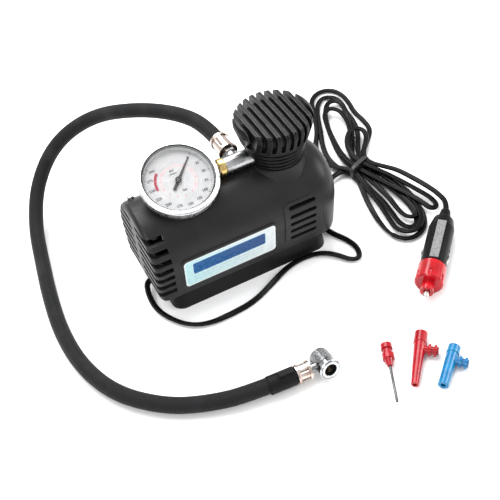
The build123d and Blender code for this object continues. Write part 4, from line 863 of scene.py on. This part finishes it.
def knurl(name, rings, around, far, first, pitch, wide, tall, metal):
    """Small four-sided points in staggered rings round the barrel."""
    g = Grow(name, Rings=rings, Around=around, Far=far * MM, First=first * MM, Pitch=pitch * MM,
             Wide=wide * MM, Tall=tall * MM)
    index = g.node("GeometryNodeInputIndex")
    ring = g.sum("FLOOR", g.sum("DIVIDE", index, g.size["Around"]))
    stagger = g.sum("MULTIPLY", 0.5, g.sum("MODULO", ring, 2.0))
    turn = g.sum("MULTIPLY", g.sum("ADD", index, stagger),
                 g.sum("DIVIDE", 2 * math.pi, g.size["Around"]))
    places = g.node("ShaderNodeCombineXYZ",
                    X=g.sum("ADD", g.size["First"], g.sum("MULTIPLY", ring, g.size["Pitch"])),
                    Y=g.sum("MULTIPLY", g.size["Far"], g.sum("COSINE", turn)),
                    Z=g.sum("MULTIPLY", g.size["Far"], g.sum("SINE", turn)))
    item = g.node("GeometryNodeMeshCone", Vertices=4, Radius_Top=0.0,
                  Radius_Bottom=g.size["Wide"], Depth=g.size["Tall"])
    turns = g.node("ShaderNodeCombineXYZ", X=g.sum("SUBTRACT", turn, math.pi / 2))
    mesh = g.grown(places, turns, item,
                   g.sum("MULTIPLY", g.size["Rings"], g.size["Around"]), metal)
    across = Vector(ALONG_X)
    piece = placed(name, mesh, Matrix.Translation(CHUCK_MIDDLE * MM) @ Matrix(
        (CHUCK_AHEAD, across, CHUCK_AHEAD.cross(across))).transposed().to_4x4(), metal)
    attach(piece, "inflator")
    return piece


def turned_nut():
    """Bright chrome with a fine turned groove in its face, painted dark as shade."""
    m = Mix("turned_nut")
    far = off_axis(m, CHUCK_MIDDLE, CHUCK_AHEAD.cross(Vector(ALONG_X)))[2]
    front = m.span(reach(m, CHUCK_MIDDLE, CHUCK_AHEAD), *NUT_FACE, 0.0, 1.0)
    radius, floor_half, lip_half = NUT_GROOVE
    off = m.sum("ABSOLUTE", m.sum("SUBTRACT", far, radius))
    groove = m.sum("MULTIPLY", front, m.span(off, floor_half, lip_half, 1.0, 0.0))
    colour = m.tint(m.span(m.noise(130), 0.35, 0.65, 0.0, 1.0),
                    (0.5, 0.51, 0.52), (0.8, 0.81, 0.82))
    # painted shade: the groove in the nut's face is made near black
    return m.set(Base_Color=m.tint(groove, colour, (0.05, 0.05, 0.052)), Metallic=1.0,
                 Roughness=m.span(m.noise(420), 0.3, 0.7, 0.12, 0.26),
                 Normal=m.relief(m.sum("SUBTRACT", 1.0, groove), 0.3, m.soft_edge(0.5)))


grip_chrome = plated("grip_chrome", (0.2, 0.203, 0.207), (0.44, 0.445, 0.45), 0.26, edge=0.3)
finish_on(grip_chrome, "chuck_body")
finish_on(turned_nut(), "chuck_nut")
chuck_knurl = knurl("chuck_knurl", *KNURL, grip_chrome)
rubber = moulded("black_rubber", (0.002, 0.002, 0.002), (0.006, 0.006, 0.006), 0.55, grain=1800,
                 depth=0.05, edge=0.4, wear=0.25, Specular_IOR_Level=0.15)
finish_on(rubber, "hose_end_sleeve", "chuck_seal", "lead_grommet", "valve_disc", "piston_cup")
finish_on(crimped("end_crimp", END_MIDDLE, END_AHEAD, CRIMP_FLATS, (0.60, 0.46, 0.40),
                  (0.92, 0.82, 0.76), END_BAND), "end_ferrule")


def coloured_clear(name, deep, bright, rough):
    """Tinted plastic, deep in its body, with painted light: brighter where the surface is seen
    edge-on, as if light shone through thin plastic.
    """
    m = Mix(name)
    # painted light: the colour brightens towards grazing angles, with patchy noise mixed in
    thin = m.node("LayerWeight")
    thin.inputs["Blend"].default_value = 0.35
    share = m.sum("ADD", m.span(m.noise(110), 0.35, 0.65, 0.0, 0.5),
                  m.sum("MULTIPLY", thin.outputs["Facing"], 0.6))
    return m.set(Base_Color=m.tint(share, deep, bright), Coat_Weight=0.2,
                 Coat_Roughness=0.06, Specular_IOR_Level=0.35,
                 Roughness=m.span(m.noise(420), 0.3, 0.7, rough * 0.7, rough * 1.3),
                 Normal=m.relief(m.noise(800), 0.02, m.soft_edge(0.35)))


def gripping_strip():
    """Coarse grey rubber with pale and dark grains."""
    m = Mix("gripping_strip")
    grit = m.noise(1500, 4.0, 0.7)
    colour = m.tint(m.span(grit, 0.35, 0.65, 0.0, 1.0), (0.06, 0.06, 0.062), (0.30, 0.30, 0.305))
    return m.set(Base_Color=colour, Roughness=m.span(grit, 0.3, 0.7, 0.45, 0.65),
                 Normal=m.relief(grit, 0.25, m.soft_edge(0.2)))


finish_on(moulded("plug_abs", (0.002, 0.002, 0.0022), (0.006, 0.006, 0.0062), 0.3, grain=1800,
                  depth=0.03, edge=0.5, wear=0.6, Specular_IOR_Level=0.1),
          "plug_relief", "plug_body")
finish_on(gripping_strip(), "plug_strip")
finish_on(coloured_clear("clear_red", (0.26, 0.001, 0.004), (0.60, 0.006, 0.016), 0.16),
          "plug_nose")
finish_on(plated("nickel", (0.5, 0.49, 0.46), (0.74, 0.73, 0.7), 0.2),
          "plug_contacts", "plug_carrier", "plug_fuse", "plug_tip")

# ---- Loose adapters
# A ball needle of steel tube in a red base, a red cone nozzle and a blue
# nozzle for air beds.  They lie loose on the table beside the hose.
finish_on(coloured_clear("adapter_red", (0.24, 0.001, 0.005), (0.48, 0.004, 0.014), 0.24),
          "needle_base", "cone_nozzle")
finish_on(coloured_clear("adapter_blue", (0.001, 0.10, 0.28), (0.004, 0.25, 0.46), 0.24),
          "mattress_nozzle")
finish_on(plated("needle_steel", (0.03, 0.03, 0.031), (0.12, 0.12, 0.122), 0.3), "needle_tube")

# ---- Motor, gears and pump
# Inside: a steel-cased motor with a fan turns a nylon gear, whose crank pin
# drives a piston with a rubber cup in a die-cast cylinder under a reed plate.
finish_on(plated("drawn_steel", (0.3, 0.31, 0.32), (0.5, 0.51, 0.52), 0.34), "motor_can")
finish_on(plated("turned_steel", (0.4, 0.4, 0.41), (0.62, 0.62, 0.63), 0.24),
          "motor_screws", "gear_pin", "valve_plate", "valve_spring", "crank_pin", "cup_screw")
finish_on(moulded("nylon", (0.55, 0.54, 0.49), (0.68, 0.67, 0.62), 0.42, depth=0.02, edge=0.3,
                  worn=(0.75, 0.74, 0.7), wear=0.3), "motor_end_cap", "cooling_fan", "drive_gear")
finish_on(plated("die_cast", (0.34, 0.34, 0.35), (0.52, 0.52, 0.53), 0.42, grain=900, depth=0.08),
          "cylinder_block", "cylinder_head", "piston_rod")
finish_on(plated("wound_copper", (0.42, 0.18, 0.08), (0.62, 0.33, 0.18), 0.32, grain=700,
                 depth=0.1), "rotor")

# ---- Table and light
# A plain pale table and soft studio light: a wide box overhead and behind, a
# fill from the front left and a low strip on the right.
TABLE_HALF = 3          # metres
TABLE_CORNERS = [(x * TABLE_HALF, y * TABLE_HALF, 0)
                 for x, y in ((-1, -1), (1, -1), (1, 1), (-1, 1))]
floor = mesh_piece("pale_table", TABLE_CORNERS, [(0, 1, 2, 3)],
                   Mix("pale_table").set(Base_Color=(0.93, 0.93, 0.93, 1), Roughness=0.65),
                   False)
WORLD_STRENGTH = 0.72
LIGHTS = {              # each light's place, size and power
    "overhead": ((-0.05, 0.45, 0.9), 0.95, 17.0),
    "front_fill": ((-0.75, -0.6, 0.75), 0.6, 5.5),
    "right_strip": ((0.85, -0.35, 0.5), 0.45, 5.0),
}
for name, (place, size, power) in LIGHTS.items():
    light = bpy.data.lights.new(name, "AREA")
    light.size, light.energy = size, power
    lamp = bpy.data.objects.new(name, light)
    lamp.location = place
    lamp.rotation_mode = "QUATERNION"
    lamp.rotation_quaternion = (-Vector(place)).to_track_quat("-Z", "Y")
    bpy.context.scene.collection.objects.link(lamp)
world = bpy.data.worlds.new("studio")
world.use_nodes = True
backdrop = world.node_tree.nodes["Background"]
backdrop.inputs["Color"].default_value = (1, 1, 1, 1)
backdrop.inputs["Strength"].default_value = WORLD_STRENGTH
bpy.context.scene.world = world
bpy.context.scene.view_settings.view_transform = "Standard"
